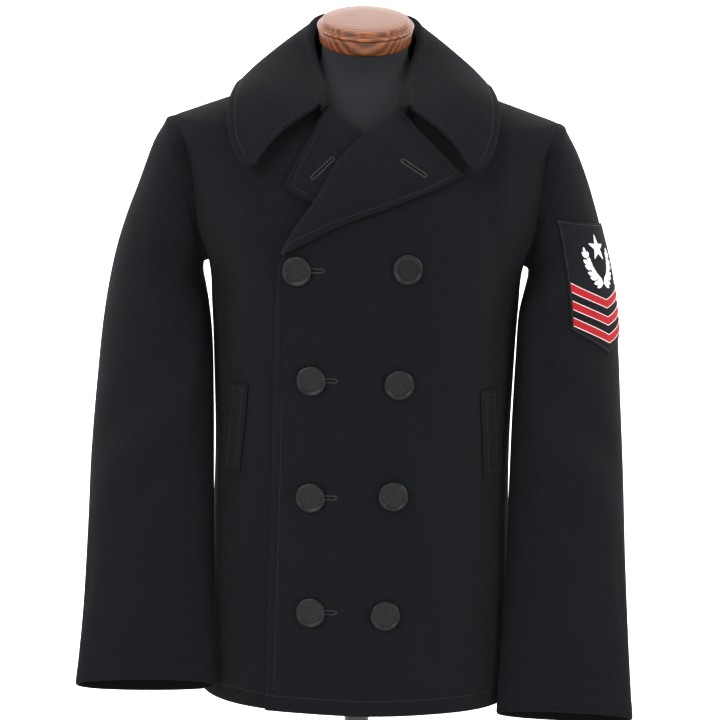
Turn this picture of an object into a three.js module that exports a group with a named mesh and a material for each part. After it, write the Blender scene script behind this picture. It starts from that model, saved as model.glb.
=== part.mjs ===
// A double-breasted wool pea coat on a limbless dress form with a turned wooden neck cap.
// Millimetres, +Z up. The stand's underside is on Z = 0, and the coat faces -Y.
// Left and right are the wearer's, so the coat's left side is at +X.
import * as THREE from "three";
import { mergeVertices } from "three/addons/utils/BufferGeometryUtils.js";

// Driving sizes
const CLOTH = 3; // melton wool with its backing
const SEAM_GAP = 0.3;
const HEM_Z = 120;
const ARMPIT_Z = 612;
const SHOULDER_Z = 771;
const SHOULDER_WIDTH = 212; // half the width between the shoulder ends
const NECK_WIDTH = 76;
const NECK_Z = 819;
const NECK_LEAN = -6; // the neck stands this far to the coat's right of the hips
const BREAK_Z = 626; // where the lapels start to roll
const GORGE_Z = 797; // where the lapels meet the collar
const LAYER = 4.5; // one layer of cloth lies this far outside the other
const SQUARENESS = 0.08; // how far the torso's sections stand out from an ellipse
const BUTTON_RADIUS = 16.5;
const BUTTON_HEIGHT = 4;

const WOOL = { color: 0x15171b, roughness: 0.95, metalness: 0 };
const wool = () => new THREE.MeshStandardMaterial(WOOL);

// Torso sections: half width, and how deep the front and the back are
const TORSO = [
  { z: 100, width: 179, front: 134, back: 124 },
  { z: 200, width: 172, front: 132, back: 117 },
  { z: 300, width: 167, front: 130, back: 108 },
  { z: 400, width: 165, front: 128, back: 102 },
  { z: 500, width: 168, front: 130, back: 105 },
  { z: 560, width: 171, front: 131, back: 111 },
  { z: 612, width: 176, front: 130, back: 116 },
  { z: 650, width: 196, front: 127, back: 117 },
  { z: 690, width: 207, front: 121, back: 111 },
  { z: 730, width: 210, front: 110, back: 101 },
  { z: 771, width: SHOULDER_WIDTH, front: 92, back: 84 },
  { z: 795, width: 144, front: 80, back: 76 },
  { z: 819, width: NECK_WIDTH, front: 66, back: 66 },
];

// Armhole seam: how far out it lies on the front and on the back
const ARMHOLE = [
  { z: 612, front: 176, back: 176 },
  { z: 625, front: 177, back: 179 },
  { z: 648, front: 186, back: 187 },
  { z: 688, front: 191, back: 192 },
  { z: 726, front: 196, back: 197 },
  { z: 751, front: 202, back: 203 },
  { z: 771, front: SHOULDER_WIDTH, back: SHOULDER_WIDTH },
];

// Edge of the upper front from the hem to the break; the under front's is its mirror image
const FRONT_EDGE = [
  { z: 120, x: -100 },
  { z: 330, x: -97 },
  { z: 500, x: -96 },
  { z: 580, x: -95 },
  { z: BREAK_Z, x: -92 },
];

// Roll line of the upper front, from the break up to the neck point
const ROLL = [
  { z: BREAK_Z, x: -92 },
  { z: 655, x: -77 },
  { z: 698, x: -49 },
  { z: 736, x: -26 },
  { z: 757, x: -4 },
  { z: 775, x: 20 },
  { z: 790, x: 38 },
  { z: 806, x: 56 },
  { z: 817, x: 68 },
];

// Outer edges of the lapels, from the break round the point to the gorge, along the share of the roll line.
// The under lapel is given as its mirror image
const LAPEL_UPPER = [
  { along: 0, x: -80, z: 641 },
  { along: 0.12, x: -65, z: 649 },
  { along: 0.3, x: -24, z: 671 },
  { along: 0.5, x: 44, z: 697 },
  { along: 0.68, x: 105, z: 724 },
  { along: 0.86, x: 76, z: 753 },
  { along: 1, x: 47, z: 781 },
];
const LAPEL_UNDER = [
  { along: 0, x: -80, z: 641 },
  { along: 0.12, x: -65, z: 649 },
  { along: 0.3, x: -22, z: 668 },
  { along: 0.48, x: 36, z: 686 },
  { along: 0.62, x: 80, z: 701 },
  { along: 0.7, x: 91, z: 709 },
  { along: 0.78, x: 84, z: 724 },
  { along: 0.9, x: 63, z: 757 },
  { along: 1, x: 46, z: 786 },
];

// Collar from the back of the neck to its front end: seam, roll and outer edge
const COLLAR = [
  { along: 0, seamX: 0, seamY: 64, seamZ: 817.4, rollX: 0, rollY: 63, rollZ: 884, edgeX: 0, edgeY: 104, edgeZ: 804 },
  { along: 0.16, seamX: 38, seamY: 58, seamZ: 817.4, rollX: 33, rollY: 57, rollZ: 884, edgeX: 66, edgeY: 97, edgeZ: 801 },
  { along: 0.32, seamX: 66, seamY: 36, seamZ: 817.4, rollX: 54, rollY: 38, rollZ: 880, edgeX: 117, edgeY: 70, edgeZ: 801 },
  { along: 0.46, seamX: 79, seamY: 6, seamZ: 817.4, rollX: 62, rollY: 10, rollZ: 866, edgeX: 140, edgeY: 32, edgeZ: 804 },
  { along: 0.58, seamX: 76, seamY: -22, seamZ: 816.6, rollX: 59, rollY: -14, rollZ: 848, edgeX: 144, edgeY: -8, edgeZ: 806 },
  { along: 0.7, seamX: 63, seamY: -46, seamZ: 814.6, rollX: 53, rollY: -42, rollZ: 829, edgeX: 149, edgeY: -58, edgeZ: 796 },
  { along: 0.82, seamX: 52, seamY: -65, seamZ: 810, rollX: 48, rollY: -66, rollZ: 818, edgeX: 149, edgeY: -87, edgeZ: 774 },
  { along: 0.92, seamX: 46, seamY: -80, seamZ: 804, rollX: 47, rollY: -84, rollZ: 809, edgeX: 142, edgeY: -104, edgeZ: 748 },
  { along: 1, seamX: 46, seamY: -92, seamZ: 791, rollX: 49, rollY: -97, rollZ: 799, edgeX: 127, edgeY: -119, edgeZ: 725 },
];

// Sleeve rings from the shoulder to the cuff: outer and inner edge, half depth and the tilt of the ring's front.
// The inner edge lies further forward, so that the sleeve hangs a little in front of the body
const SLEEVE_RIGHT = [
  { along: 0.04, outX: 224, outZ: 763, inX: 183, inZ: 609, inY: 0, outY: 0, depth: 60, tilt: 0 },
  { along: 0.1, outX: 238, outZ: 740, inX: 184, inZ: 604, inY: 1, outY: 1, depth: 64, tilt: 0 },
  { along: 0.17, outX: 254, outZ: 697, inX: 184, inZ: 594, inY: 2, outY: 3, depth: 66, tilt: 0 },
  { along: 0.25, outX: 271, outZ: 651, inX: 181, inZ: 580, inY: 2, outY: 5, depth: 67, tilt: 2 },
  { along: 0.33, outX: 283, outZ: 606, inX: 176, inZ: 558, inY: -12, outY: 7, depth: 66, tilt: 4 },
  { along: 0.42, outX: 293, outZ: 545, inX: 171.5, inZ: 520, inY: -24, outY: 7, depth: 63, tilt: 6 },
  { along: 0.53, outX: 300, outZ: 468, inX: 169, inZ: 455, inY: -33, outY: 2, depth: 57, tilt: 8 },
  { along: 0.64, outX: 305, outZ: 390, inX: 167.5, inZ: 384, inY: -42, outY: -10, depth: 49, tilt: 10 },
  { along: 0.76, outX: 307, outZ: 305, inX: 166, inZ: 303, inY: -52, outY: -29, depth: 40, tilt: 14 },
  { along: 0.88, outX: 310, outZ: 218, inX: 163, inZ: 219, inY: -66, outY: -52, depth: 31, tilt: 20 },
  { along: 1, outX: 316, outZ: 133, inX: 159, inZ: 138, inY: -85, outY: -77, depth: 23, tilt: 30 },
];
const SLEEVE_LEFT = [
  { along: 0.04, outX: 223, outZ: 762, inX: 182.5, inZ: 609, inY: 0, outY: 0, depth: 60, tilt: 0 },
  { along: 0.1, outX: 235, outZ: 736, inX: 184, inZ: 604, inY: 1, outY: 1, depth: 64, tilt: 0 },
  { along: 0.17, outX: 249, outZ: 694, inX: 183.5, inZ: 594, inY: 2, outY: 3, depth: 66, tilt: 0 },
  { along: 0.25, outX: 263, outZ: 648, inX: 179.5, inZ: 580, inY: -8, outY: 5, depth: 67, tilt: 2 },
  { along: 0.33, outX: 275, outZ: 600, inX: 173.5, inZ: 558, inY: -28, outY: 7, depth: 66, tilt: 4 },
  { along: 0.42, outX: 284, outZ: 537, inX: 171.5, inZ: 513, inY: -28, outY: 7, depth: 63, tilt: 6 },
  { along: 0.53, outX: 290, outZ: 454, inX: 169, inZ: 442, inY: -34, outY: 2, depth: 57, tilt: 8 },
  { along: 0.64, outX: 295, outZ: 373, inX: 167.5, inZ: 367, inY: -42, outY: -10, depth: 49, tilt: 10 },
  { along: 0.76, outX: 299, outZ: 284, inX: 166, inZ: 282, inY: -52, outY: -29, depth: 40, tilt: 14 },
  { along: 0.88, outX: 304, outZ: 195, inX: 163, inZ: 196, inY: -66, outY: -53, depth: 31, tilt: 20 },
  { along: 1, outX: 310, outZ: 106, inX: 159, inZ: 112, inY: -85, outY: -78, depth: 23, tilt: 27 },
];

// Folds of the upper and the under front: a soft ridge (height above 0) or trough from one point to another
const FOLDS = [
  { upper: true, x1: -24, z1: 482, x2: 0, z2: 400, wide: 16, height: 2.5 },
  { upper: true, x1: 20, z1: 462, x2: 84, z2: 322, wide: 20, height: 4 },
  { upper: true, x1: -8, z1: 205, x2: 0, z2: 130, wide: 20, height: 2.5 },
  { upper: true, x1: 150, z1: 722, x2: 146, z2: 660, wide: 13, height: 5 },
  { upper: true, x1: 150, z1: 610, x2: 140, z2: 500, wide: 16, height: -3 },
  { upper: false, x1: -150, z1: 640, x2: -154, z2: 520, wide: 15, height: -4 },
  { upper: false, x1: -134, z1: 420, x2: -136, z2: 200, wide: 20, height: 4 },
];

// Sleeve folds: place along and round the sleeve (degrees from its outer edge, by way of the front)
const SLEEVE_FOLDS = [
  { along1: 0.5, round1: 112, along2: 0.62, round2: 28, wide: 0.035, height: -3 },
  { along1: 0.56, round1: 118, along2: 0.7, round2: 40, wide: 0.04, height: 3 },
  { along1: 0.34, round1: 142, along2: 0.66, round2: 112, wide: 0.035, height: 3 },
  { along1: 0.2, round1: 160, along2: 0.5, round2: 150, wide: 0.03, height: -2 },
  { along1: 0.47, round1: 250, along2: 0.55, round2: 330, wide: 0.035, height: -3 },
];

// Smooth value of one named column of a table
function column(rows, key, at, name) {
  const last = rows.length - 1;
  if (at <= rows[0][key]) return rows[0][name];
  if (at >= rows[last][key]) return rows[last][name];
  let i = 0;
  while (at > rows[i + 1][key]) i += 1;
  const a = rows[i];
  const b = rows[i + 1];
  const span = b[key] - a[key];
  const slope = (k) => {
    if (k === 0 || k === last) return (b[name] - a[name]) / span;
    return (rows[k + 1][name] - rows[k - 1][name]) / (rows[k + 1][key] - rows[k - 1][key]);
  };
  const t = (at - a[key]) / span;
  const in0 = (1 + 2 * t) * (1 - t) ** 2;
  const in1 = t * (1 - t) ** 2;
  const in2 = t * t * (3 - 2 * t);
  const in3 = t * t * (t - 1);
  return in0 * a[name] + in1 * span * slope(i) + in2 * b[name] + in3 * span * slope(i + 1);
}
// Goes from 0 to 1 as at goes from one place to the other, up or down
const smooth = (from, to, at) => THREE.MathUtils.smoothstep((at - from) / (to - from), 0, 1);
const lerp = THREE.MathUtils.lerp;
const steps = (from, to, count) => Array.from({ length: count + 1 }, (_, i) => lerp(from, to, i / count));

// Shoulders fall in a straight line, so the top sections are not rounded off
function halfWidth(z) {
  if (z <= SHOULDER_Z) return column(TORSO, "z", z, "width");
  return lerp(SHOULDER_WIDTH, NECK_WIDTH, (z - SHOULDER_Z) / (NECK_Z - SHOULDER_Z));
}
const lean = (z) => NECK_LEAN * smooth(690, 830, z);

// A point of the torso: angle 0 is the left side seam, a quarter turn is the centre front
function torsoPoint(angle, z) {
  const c = Math.cos(angle);
  const s = Math.sin(angle);
  const depth = column(TORSO, "z", z, s > 0 ? "front" : "back");
  const x = halfWidth(z) * c * (1 + SQUARENESS * s * s);
  return new THREE.Vector3(lean(z) + x, -depth * s * (1 + SQUARENESS * c * c), z);
}
function torsoNormal(angle, z) {
  const step = 0.01;
  const across = torsoPoint(angle + step, z).sub(torsoPoint(angle - step, z));
  const up = torsoPoint(angle, z + 2).sub(torsoPoint(angle, z - 2));
  return up.cross(across).normalize();
}
// The front's angle at a distance from the centre line
function frontAngle(x, z) {
  let low = 0;
  let high = Math.PI;
  for (let i = 0; i < 30; i += 1) {
    const middle = (low + high) / 2;
    if (torsoPoint(middle, z).x - lean(z) > x) low = middle;
    else high = middle;
  }
  return (low + high) / 2;
}

function foldHeight(x, z, upper) {
  let height = 0;
  for (const f of FOLDS) {
    if (f.upper !== upper) continue;
    const dx = f.x2 - f.x1;
    const dz = f.z2 - f.z1;
    const along = THREE.MathUtils.clamp(((x - f.x1) * dx + (z - f.z1) * dz) / (dx * dx + dz * dz), 0, 1);
    const away = Math.hypot(x - f.x1 - along * dx, z - f.z1 - along * dz) / f.wide;
    height += f.height * Math.exp(-away * away) * (0.35 + 0.65 * Math.sin(Math.PI * along));
  }
  return height;
}

// Cloth point on the torso, moved out by a number of millimetres: on a front with its folds, or on the back
function clothPoint(angle, z, out, upper) {
  const point = torsoPoint(angle, z);
  const onFront = Math.sin(angle) > 0;
  const folds = onFront ? foldHeight(point.x - lean(z), z, upper) : 0;
  return point.addScaledVector(torsoNormal(angle, z), out + folds);
}
const clothAt = (x, z, out, upper) => clothPoint(frontAngle(x, z), z, out, upper);

// How far the upper front lies outside the torso: over the other front, and over its lapel
function upperLift(x, z) {
  const layers = LAYER + LAYER * smooth(540, BREAK_Z, z);
  const reach = -edgeX(z);
  return layers * smooth(reach + 75, reach + 6, x);
}

// A closed wall between two sheets of points
function wallBetween(outer, inner) {
  const rows = outer.length;
  const cols = outer[0].length;
  const positions = [];
  for (const sheet of [outer, inner]) for (const row of sheet) for (const p of row) positions.push(p.x, p.y, p.z);
  const at = (sheet, r, c) => sheet * rows * cols + r * cols + c;
  const faces = [];
  const quad = (a, b, c, d) => faces.push(a, b, c, a, c, d);
  for (let r = 0; r < rows - 1; r += 1) {
    for (let c = 0; c < cols - 1; c += 1) {
      quad(at(0, r, c), at(0, r, c + 1), at(0, r + 1, c + 1), at(0, r + 1, c));
      quad(at(1, r, c), at(1, r + 1, c), at(1, r + 1, c + 1), at(1, r, c + 1));
    }
  }
  for (let c = 0; c < cols - 1; c += 1) {
    quad(at(0, 0, c), at(1, 0, c), at(1, 0, c + 1), at(0, 0, c + 1));
    quad(at(0, rows - 1, c), at(0, rows - 1, c + 1), at(1, rows - 1, c + 1), at(1, rows - 1, c));
  }
  for (let r = 0; r < rows - 1; r += 1) {
    quad(at(0, r, 0), at(0, r + 1, 0), at(1, r + 1, 0), at(1, r, 0));
    quad(at(0, r, cols - 1), at(1, r, cols - 1), at(1, r + 1, cols - 1), at(0, r + 1, cols - 1));
  }
  const geometry = new THREE.BufferGeometry();
  geometry.setAttribute("position", new THREE.Float32BufferAttribute(positions, 3));
  geometry.setIndex(faces);
  return facingOut(geometry);
}
// Turns every face round if the shape is inside out
function facingOut(geometry) {
  const p = geometry.getAttribute("position");
  const index = geometry.getIndex().array;
  const [a, b, c] = [new THREE.Vector3(), new THREE.Vector3(), new THREE.Vector3()];
  let volume = 0;
  for (let i = 0; i < index.length; i += 3) {
    a.fromBufferAttribute(p, index[i]);
    b.fromBufferAttribute(p, index[i + 1]);
    c.fromBufferAttribute(p, index[i + 2]);
    volume += a.dot(b.cross(c));
  }
  if (volume < 0) {
    for (let i = 0; i < index.length; i += 3) [index[i + 1], index[i + 2]] = [index[i + 2], index[i + 1]];
  }
  geometry.computeVertexNormals();
  return geometry;
}
// The wall round a sheet of middle points: half its thickness to each side
function wallRound(sheet, thickness) {
  const rows = sheet.length;
  const cols = sheet[0].length;
  const pick = (r, c) => {
    const row = THREE.MathUtils.clamp(r, 0, rows - 1);
    const col = THREE.MathUtils.clamp(c, 0, cols - 1);
    return sheet[row][col];
  };
  const moved = (out) =>
    sheet.map((row, r) =>
      row.map((p, c) => {
        const up = pick(r + 1, c).clone().sub(pick(r - 1, c));
        const across = pick(r, c + 1).clone().sub(pick(r, c - 1));
        return p.clone().addScaledVector(up.cross(across).normalize(), out);
      }),
    );
  return wallBetween(moved(thickness / 2), moved(-thickness / 2));
}

const coat = new THREE.Group();
function add(name, geometry, material) {
  const mesh = new THREE.Mesh(geometry, material);
  mesh.name = name;
  coat.add(mesh);
  return mesh;
}

// Rows of the body panels: wide apart on the skirt, close together on the shoulder
const armholeHeight = (degrees) =>
  (SHOULDER_Z + ARMPIT_Z) / 2 + ((SHOULDER_Z - ARMPIT_Z) / 2) * Math.cos(THREE.MathUtils.degToRad(degrees));
const SLEEVE_STEP = 15;
const PANEL_ROWS = [
  ...steps(HEM_Z, ARMPIT_Z - 14, 12),
  ...steps(180, SLEEVE_STEP, 11).map(armholeHeight),
  SHOULDER_Z - 0.5,
  ...steps(SHOULDER_Z + 6, NECK_Z - 3, 5),
];

// Where a body panel ends at the side: on the side seam, the armhole or the shoulder seam
function sideAngle(z, part) {
  const seam = SEAM_GAP / 2 / column(TORSO, "z", z, part);
  if (z <= ARMPIT_Z || z >= SHOULDER_Z - 1) return seam;
  return Math.max(frontAngle(column(ARMHOLE, "z", z, part), z), seam);
}
// Where the upper front ends towards the other side: on its edge, or on its roll line above the break
function edgeX(z) {
  return column(z < BREAK_Z ? FRONT_EDGE : ROLL, "z", z, "x");
}

function frontPanel(side) {
  const upper = side > 0;
  const columns = 12;
  const sheets = [CLOTH / 2, -CLOTH / 2].map((out) =>
    PANEL_ROWS.map((z) => {
      const from = sideAngle(z, "front");
      const to = frontAngle(edgeX(z), z);
      return steps(from, to, columns).map((angle) => {
        const across = torsoPoint(angle, z).x - lean(z);
        const lift = upper ? upperLift(across, z) : 0;
        return clothPoint(upper ? angle : Math.PI - angle, z, out + lift, upper);
      });
    }),
  );
  return wallBetween(...sheets);
}

function backPanel(side) {
  const columns = 9;
  const sheets = [CLOTH / 2, -CLOTH / 2].map((out) =>
    PANEL_ROWS.map((z) => {
      const from = sideAngle(z, "back");
      const to = Math.PI / 2 - SEAM_GAP / 2 / Math.max(halfWidth(z), 1);
      return steps(from, to, columns).map((angle) => clothPoint(side > 0 ? 2 * Math.PI - angle : Math.PI + angle, z, out));
    }),
  );
  return wallBetween(...sheets);
}

// A lapel: cloth that turns over at the roll line and lies on its front
function lapelPanel(side) {
  const upper = side > 0;
  const outline = upper ? LAPEL_UPPER : LAPEL_UNDER;
  // The turned edge: how far past the roll line, and how far out from the front
  const turn = [
    { past: 3, out: -0.8 },
    { past: 3.4, out: 1.8 },
    { past: 1.6, out: 4 },
  ];
  const sheet = steps(0, 1, 12).map((along) => {
    const rollZ = lerp(BREAK_Z + 12, GORGE_Z - 4, along);
    const rollX = edgeX(rollZ);
    const endX = column(outline, "along", along, "x");
    const endZ = column(outline, "along", along, "z");
    const length = Math.hypot(endX - rollX, endZ - rollZ);
    const place = (far, out) => {
      const x = lerp(rollX, endX, far / length);
      const z = lerp(rollZ, endZ, far / length);
      return clothAt(side * x, z, out + (upper ? upperLift(x, z) : 0), upper);
    };
    const turned = turn.map((t) => place(-t.past, t.out));
    const flat = steps(3, Math.max(length, 6), 8).map((far) => place(far, LAYER + 0.55));
    return [...turned, ...flat];
  });
  return wallRound(sheet, CLOTH);
}

// The collar's section at one place: up its stand, over the roll and down its fall
function collarSection(along, side) {
  const value = (name) => column(COLLAR, "along", along, name);
  const seam = new THREE.Vector3(value("seamX"), value("seamY"), value("seamZ"));
  const roll = new THREE.Vector3(value("rollX"), value("rollY"), value("rollZ"));
  const edge = new THREE.Vector3(value("edgeX"), value("edgeY"), value("edgeZ"));
  const out = edge.clone().sub(roll).setZ(0).normalize();
  const up = new THREE.Vector3(0, 0, 1);
  const rollRadius = 4.5;
  const points = [seam, seam.clone().lerp(roll, 0.5).addScaledVector(out, -1)];
  for (const turn of steps(0, Math.PI, 4)) {
    points.push(
      roll
        .clone()
        .addScaledVector(out, -rollRadius * Math.cos(turn))
        .addScaledVector(up, rollRadius * Math.sin(turn) - rollRadius),
    );
  }
  const fallTop = points[points.length - 1];
  const fallOut = out.clone().multiplyScalar(0.6).addScaledVector(up, 0.8);
  for (const t of steps(0, 1, 6).slice(1)) {
    points.push(fallTop.clone().lerp(edge, t).addScaledVector(fallOut, 7 * Math.sin(Math.PI * t)));
  }
  return points.map((p) => new THREE.Vector3(NECK_LEAN + side * p.x, p.y, p.z));
}
function collarPanel() {
  const half = 11;
  const right = steps(1, 0, half).map((along) => collarSection(along, -1));
  const left = steps(0, 1, half).slice(1).map((along) => collarSection(along, 1));
  return wallRound([...right, ...left], CLOTH);
}

// A point of the armhole seam: 0 degrees is the shoulder end, 90 the front, 180 the armpit
function armholePoint(degrees, side) {
  const angle = THREE.MathUtils.degToRad(degrees);
  const middle = (SHOULDER_Z + ARMPIT_Z) / 2;
  const z = middle + ((SHOULDER_Z - ARMPIT_Z) / 2) * Math.cos(angle);
  const atFront = degrees < 180;
  const x = column(ARMHOLE, "z", z, atFront ? "front" : "back");
  const turn = z > SHOULDER_Z - 0.5 || z < ARMPIT_Z + 0.5 ? 0 : frontAngle(Math.min(x, halfWidth(z)), z);
  const point = torsoPoint(atFront ? turn : 2 * Math.PI - turn, z);
  return new THREE.Vector3(lean(z) + side * (point.x - lean(z)), point.y, z);
}
function sleevePoint(rows, side, along, degrees) {
  const value = (name) => column(rows, "along", along, name);
  const angle = THREE.MathUtils.degToRad(degrees);
  const outer = new THREE.Vector3(value("outX"), value("outY"), value("outZ"));
  const inner = new THREE.Vector3(value("inX"), value("inY"), value("inZ"));
  const middle = outer.clone().add(inner).multiplyScalar(0.5);
  const across = outer.clone().sub(middle);
  const tilt = THREE.MathUtils.degToRad(value("tilt"));
  const forward = new THREE.Vector3(0, -Math.cos(tilt), Math.sin(tilt)).multiplyScalar(value("depth"));
  const c = Math.cos(angle);
  const s = Math.sin(angle);
  let bump = 0;
  for (const f of SLEEVE_FOLDS) {
    const da = f.along2 - f.along1;
    const dr = (f.round2 - f.round1) / 360;
    const a = along - f.along1;
    const r = (degrees - f.round1) / 360;
    const share = THREE.MathUtils.clamp((a * da + r * dr) / (da * da + dr * dr), 0, 1);
    const away = Math.hypot(a - share * da, r - share * dr) / f.wide;
    bump += f.height * Math.exp(-away * away) * (0.35 + 0.65 * Math.sin(Math.PI * share));
  }
  const square = 1 + SQUARENESS * s * s;
  const point = middle.addScaledVector(across, c * square).addScaledVector(forward, s * (1 + SQUARENESS * c * c));
  const away = across.clone().normalize().multiplyScalar(c).addScaledVector(forward.clone().normalize(), s);
  point.addScaledVector(away.normalize(), bump);
  point.x = lean(point.z) * smooth(0.4, 0, along) + side * point.x;
  return point;
}
// One of a sleeve's two pieces, between two seams given in degrees round the sleeve
function sleevePanel(rows, side, from, to) {
  const places = steps(0.04, 1, 18);
  const seam = 0.25;
  const angles = steps(from, to, (to - from) / SLEEVE_STEP);
  angles[0] += seam;
  angles[angles.length - 1] -= seam;
  const ringPoint = (ring, degrees) => {
    if (ring > 0) return sleevePoint(rows, side, places[ring - 1], degrees);
    const next = sleevePoint(rows, side, places[0], degrees);
    const hole = armholePoint((degrees + 360) % 360, side);
    const toNext = next.sub(hole);
    return hole.addScaledVector(toNext, 3.4 / Math.max(toNext.length(), 4));
  };
  const sheets = [CLOTH / 2, -CLOTH / 2].map((out) =>
    [...places, 0].map((_, ring) =>
      angles.map((degrees) => {
        const along = ringPoint(Math.min(ring + 1, places.length), degrees).sub(ringPoint(Math.max(ring - 1, 0), degrees));
        const round = ringPoint(ring, degrees + 1).sub(ringPoint(ring, degrees - 1));
        return ringPoint(ring, degrees).addScaledVector(round.cross(along).normalize(), side * out);
      }),
    ),
  );
  return wallBetween(...sheets);
}

// Pocket welts, standing on the fronts beside the buttons
const WELT = { top: 484, bottom: 384, topX: 126, bottomX: 132, width: 22, thickness: 1.4 };
function pocketWelt(side) {
  const sheets = [WELT.thickness, 0].map((far) =>
    steps(WELT.bottom, WELT.top, 8).map((z) => {
      const inner = lerp(WELT.bottomX, WELT.topX, (z - WELT.bottom) / (WELT.top - WELT.bottom));
      return steps(inner, inner + WELT.width, 3).map((x) => {
        const lift = side > 0 ? upperLift(x, z) : 0;
        return clothAt(side * x, z, CLOTH / 2 + 0.8 + lift + far, side > 0);
      });
    }),
  );
  return wallBetween(...sheets);
}

// Badge on the left sleeve: pointed below, and laid round the sleeve from its front to its outer edge
const BADGE = { top: 666, bottom: 544.5, fall: 7, point: 25, thickness: 1.4 };
const BADGE_MIDDLE = 44;
const BADGE_SPREAD = 45;
function sleeveAtHeight(rows, side, degrees, z, out) {
  let low = 0.05;
  let high = 0.95;
  for (let i = 0; i < 30; i += 1) {
    const middle = (low + high) / 2;
    if (sleevePoint(rows, side, middle, degrees).z > z) low = middle;
    else high = middle;
  }
  const point = sleevePoint(rows, side, low, degrees);
  const along = sleevePoint(rows, side, low + 0.01, degrees).sub(sleevePoint(rows, side, low - 0.01, degrees));
  const round = sleevePoint(rows, side, low, degrees + 1).sub(sleevePoint(rows, side, low, degrees - 1));
  return point.addScaledVector(round.cross(along).normalize(), side * out);
}
function sleeveBadge() {
  const sheets = [BADGE.thickness, 0].map((far) =>
    steps(0, 1, 8).map((down) =>
      steps(-1, 1, 12).map((across) => {
        const top = BADGE.top - BADGE.fall * across;
        const bottom = BADGE.bottom - BADGE.fall * across - BADGE.point * (1 - Math.abs(across));
        const degrees = BADGE_MIDDLE - BADGE_SPREAD * across;
        return sleeveAtHeight(SLEEVE_LEFT, 1, degrees, lerp(top, bottom, down), CLOTH / 2 + 0.9 + far);
      }),
    ),
  );
  return wallBetween(...sheets);
}

// Buttons on the upper front, two columns that draw together towards the hem
const BUTTONS = [
  { row: 1, outerX: -72.5, outerZ: 619.5, innerX: 44, innerZ: 624 },
  { row: 2, outerX: -56, outerZ: 498, innerX: 38, innerZ: 496 },
  { row: 3, outerX: -54.5, outerZ: 366, innerX: 34.5, innerZ: 370.5 },
  { row: 4, outerX: -52, outerZ: 236.5, innerX: 28.5, innerZ: 235.5 },
];
function buttonShape() {
  const r = BUTTON_RADIUS;
  const h = BUTTON_HEIGHT;
  const profile = [
    [0, 0], [r * 0.82, 0], [r, h * 0.45], [r * 0.96, h], [r * 0.86, h], [r * 0.78, h * 0.72], [0, h * 0.66],
  ];
  const shape = new THREE.LatheGeometry(profile.map(([x, y]) => new THREE.Vector2(x, y)), 18);
  shape.deleteAttribute("normal");
  shape.deleteAttribute("uv");
  return facingOut(mergeVertices(shape, 1e-3));
}
function sewButton(name, x, z) {
  const lift = upperLift(x, z) + CLOTH / 2;
  const place = (dx, dz) => clothAt(x + dx, z + dz, lift, true);
  const foot = place(0, 0);
  const across = place(BUTTON_RADIUS, 0).sub(place(-BUTTON_RADIUS, 0));
  const up = place(0, BUTTON_RADIUS).sub(place(0, -BUTTON_RADIUS));
  const out = across.cross(up).normalize();
  // The button lies on the highest cloth under it
  const highest = Math.max(
    ...steps(0, 2 * Math.PI, 16).map((turn) =>
      place(14 * Math.cos(turn), 14 * Math.sin(turn)).sub(foot).dot(out),
    ),
    0,
  );
  const horn = { color: 0x1b1b1d, roughness: 0.35, metalness: 0 };
  const button = add(name, buttonShape(), new THREE.MeshStandardMaterial(horn));
  button.position.copy(foot.addScaledVector(out, highest + 0.4));
  button.quaternion.setFromUnitVectors(new THREE.Vector3(0, 1, 0), out);
}

// The dress form: a torso with closed shoulders, a neck, a tilted wooden cap and a turned stand
const FORM_BOTTOM = 200;
const NECK_TOP = 858;
const FORM = [
  { z: 200, width: 148, front: 104, back: 94 },
  { z: 215, width: 150, front: 107, back: 97 },
  { z: 300, width: 149, front: 110, back: 92 },
  { z: 400, width: 143, front: 104, back: 84 },
  { z: 500, width: 146, front: 108, back: 88 },
  { z: 600, width: 154, front: 114, back: 98 },
  { z: 650, width: 160, front: 115, back: 102 },
  { z: 700, width: 168, front: 110, back: 98 },
  { z: 740, width: 178, front: 99, back: 90 },
  { z: 768, width: 188, front: 84, back: 76 },
  { z: 795, width: 188, front: 70, back: 66 },
  { z: 816, width: 76, front: 56, back: 56 },
  { z: 826, width: 58, front: 51, back: 52 },
  { z: 838, width: 49.5, front: 49, back: 49 },
  { z: 858, width: 48, front: 48, back: 48 },
];
const SHOULDER_REST = 2.3; // the coat's middle rests this far above the form's shoulders
const CAP_TILT = THREE.MathUtils.degToRad(13);
function formBody() {
  const heights = [...steps(FORM_BOTTOM, 740, 12), 756, 768, ...steps(776, 816, 6), 821, 828, 838, 848, NECK_TOP];
  const angles = steps(0, 2 * Math.PI, 28).slice(0, -1);
  const ring = (z, share = 1) => {
    const width = Math.min(column(FORM, "z", z, "width"), z < NECK_Z - 3 ? halfWidth(z + SHOULDER_REST) : Infinity);
    const tilt = Math.tan(CAP_TILT) * smooth(826, NECK_TOP, z);
    return angles.map((angle) => {
      const c = Math.cos(angle);
      const s = Math.sin(angle);
      const y = -column(FORM, "z", z, s > 0 ? "front" : "back") * s * share;
      return new THREE.Vector3(lean(z) + width * c * share, y, z + y * tilt);
    });
  };
  const outer = heights.map((z) => ring(z));
  const bottom = ring(heights[0], 0.02);
  const top = ring(NECK_TOP, 0.02);
  return loftClosed([bottom, ...outer, top]);
}
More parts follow.
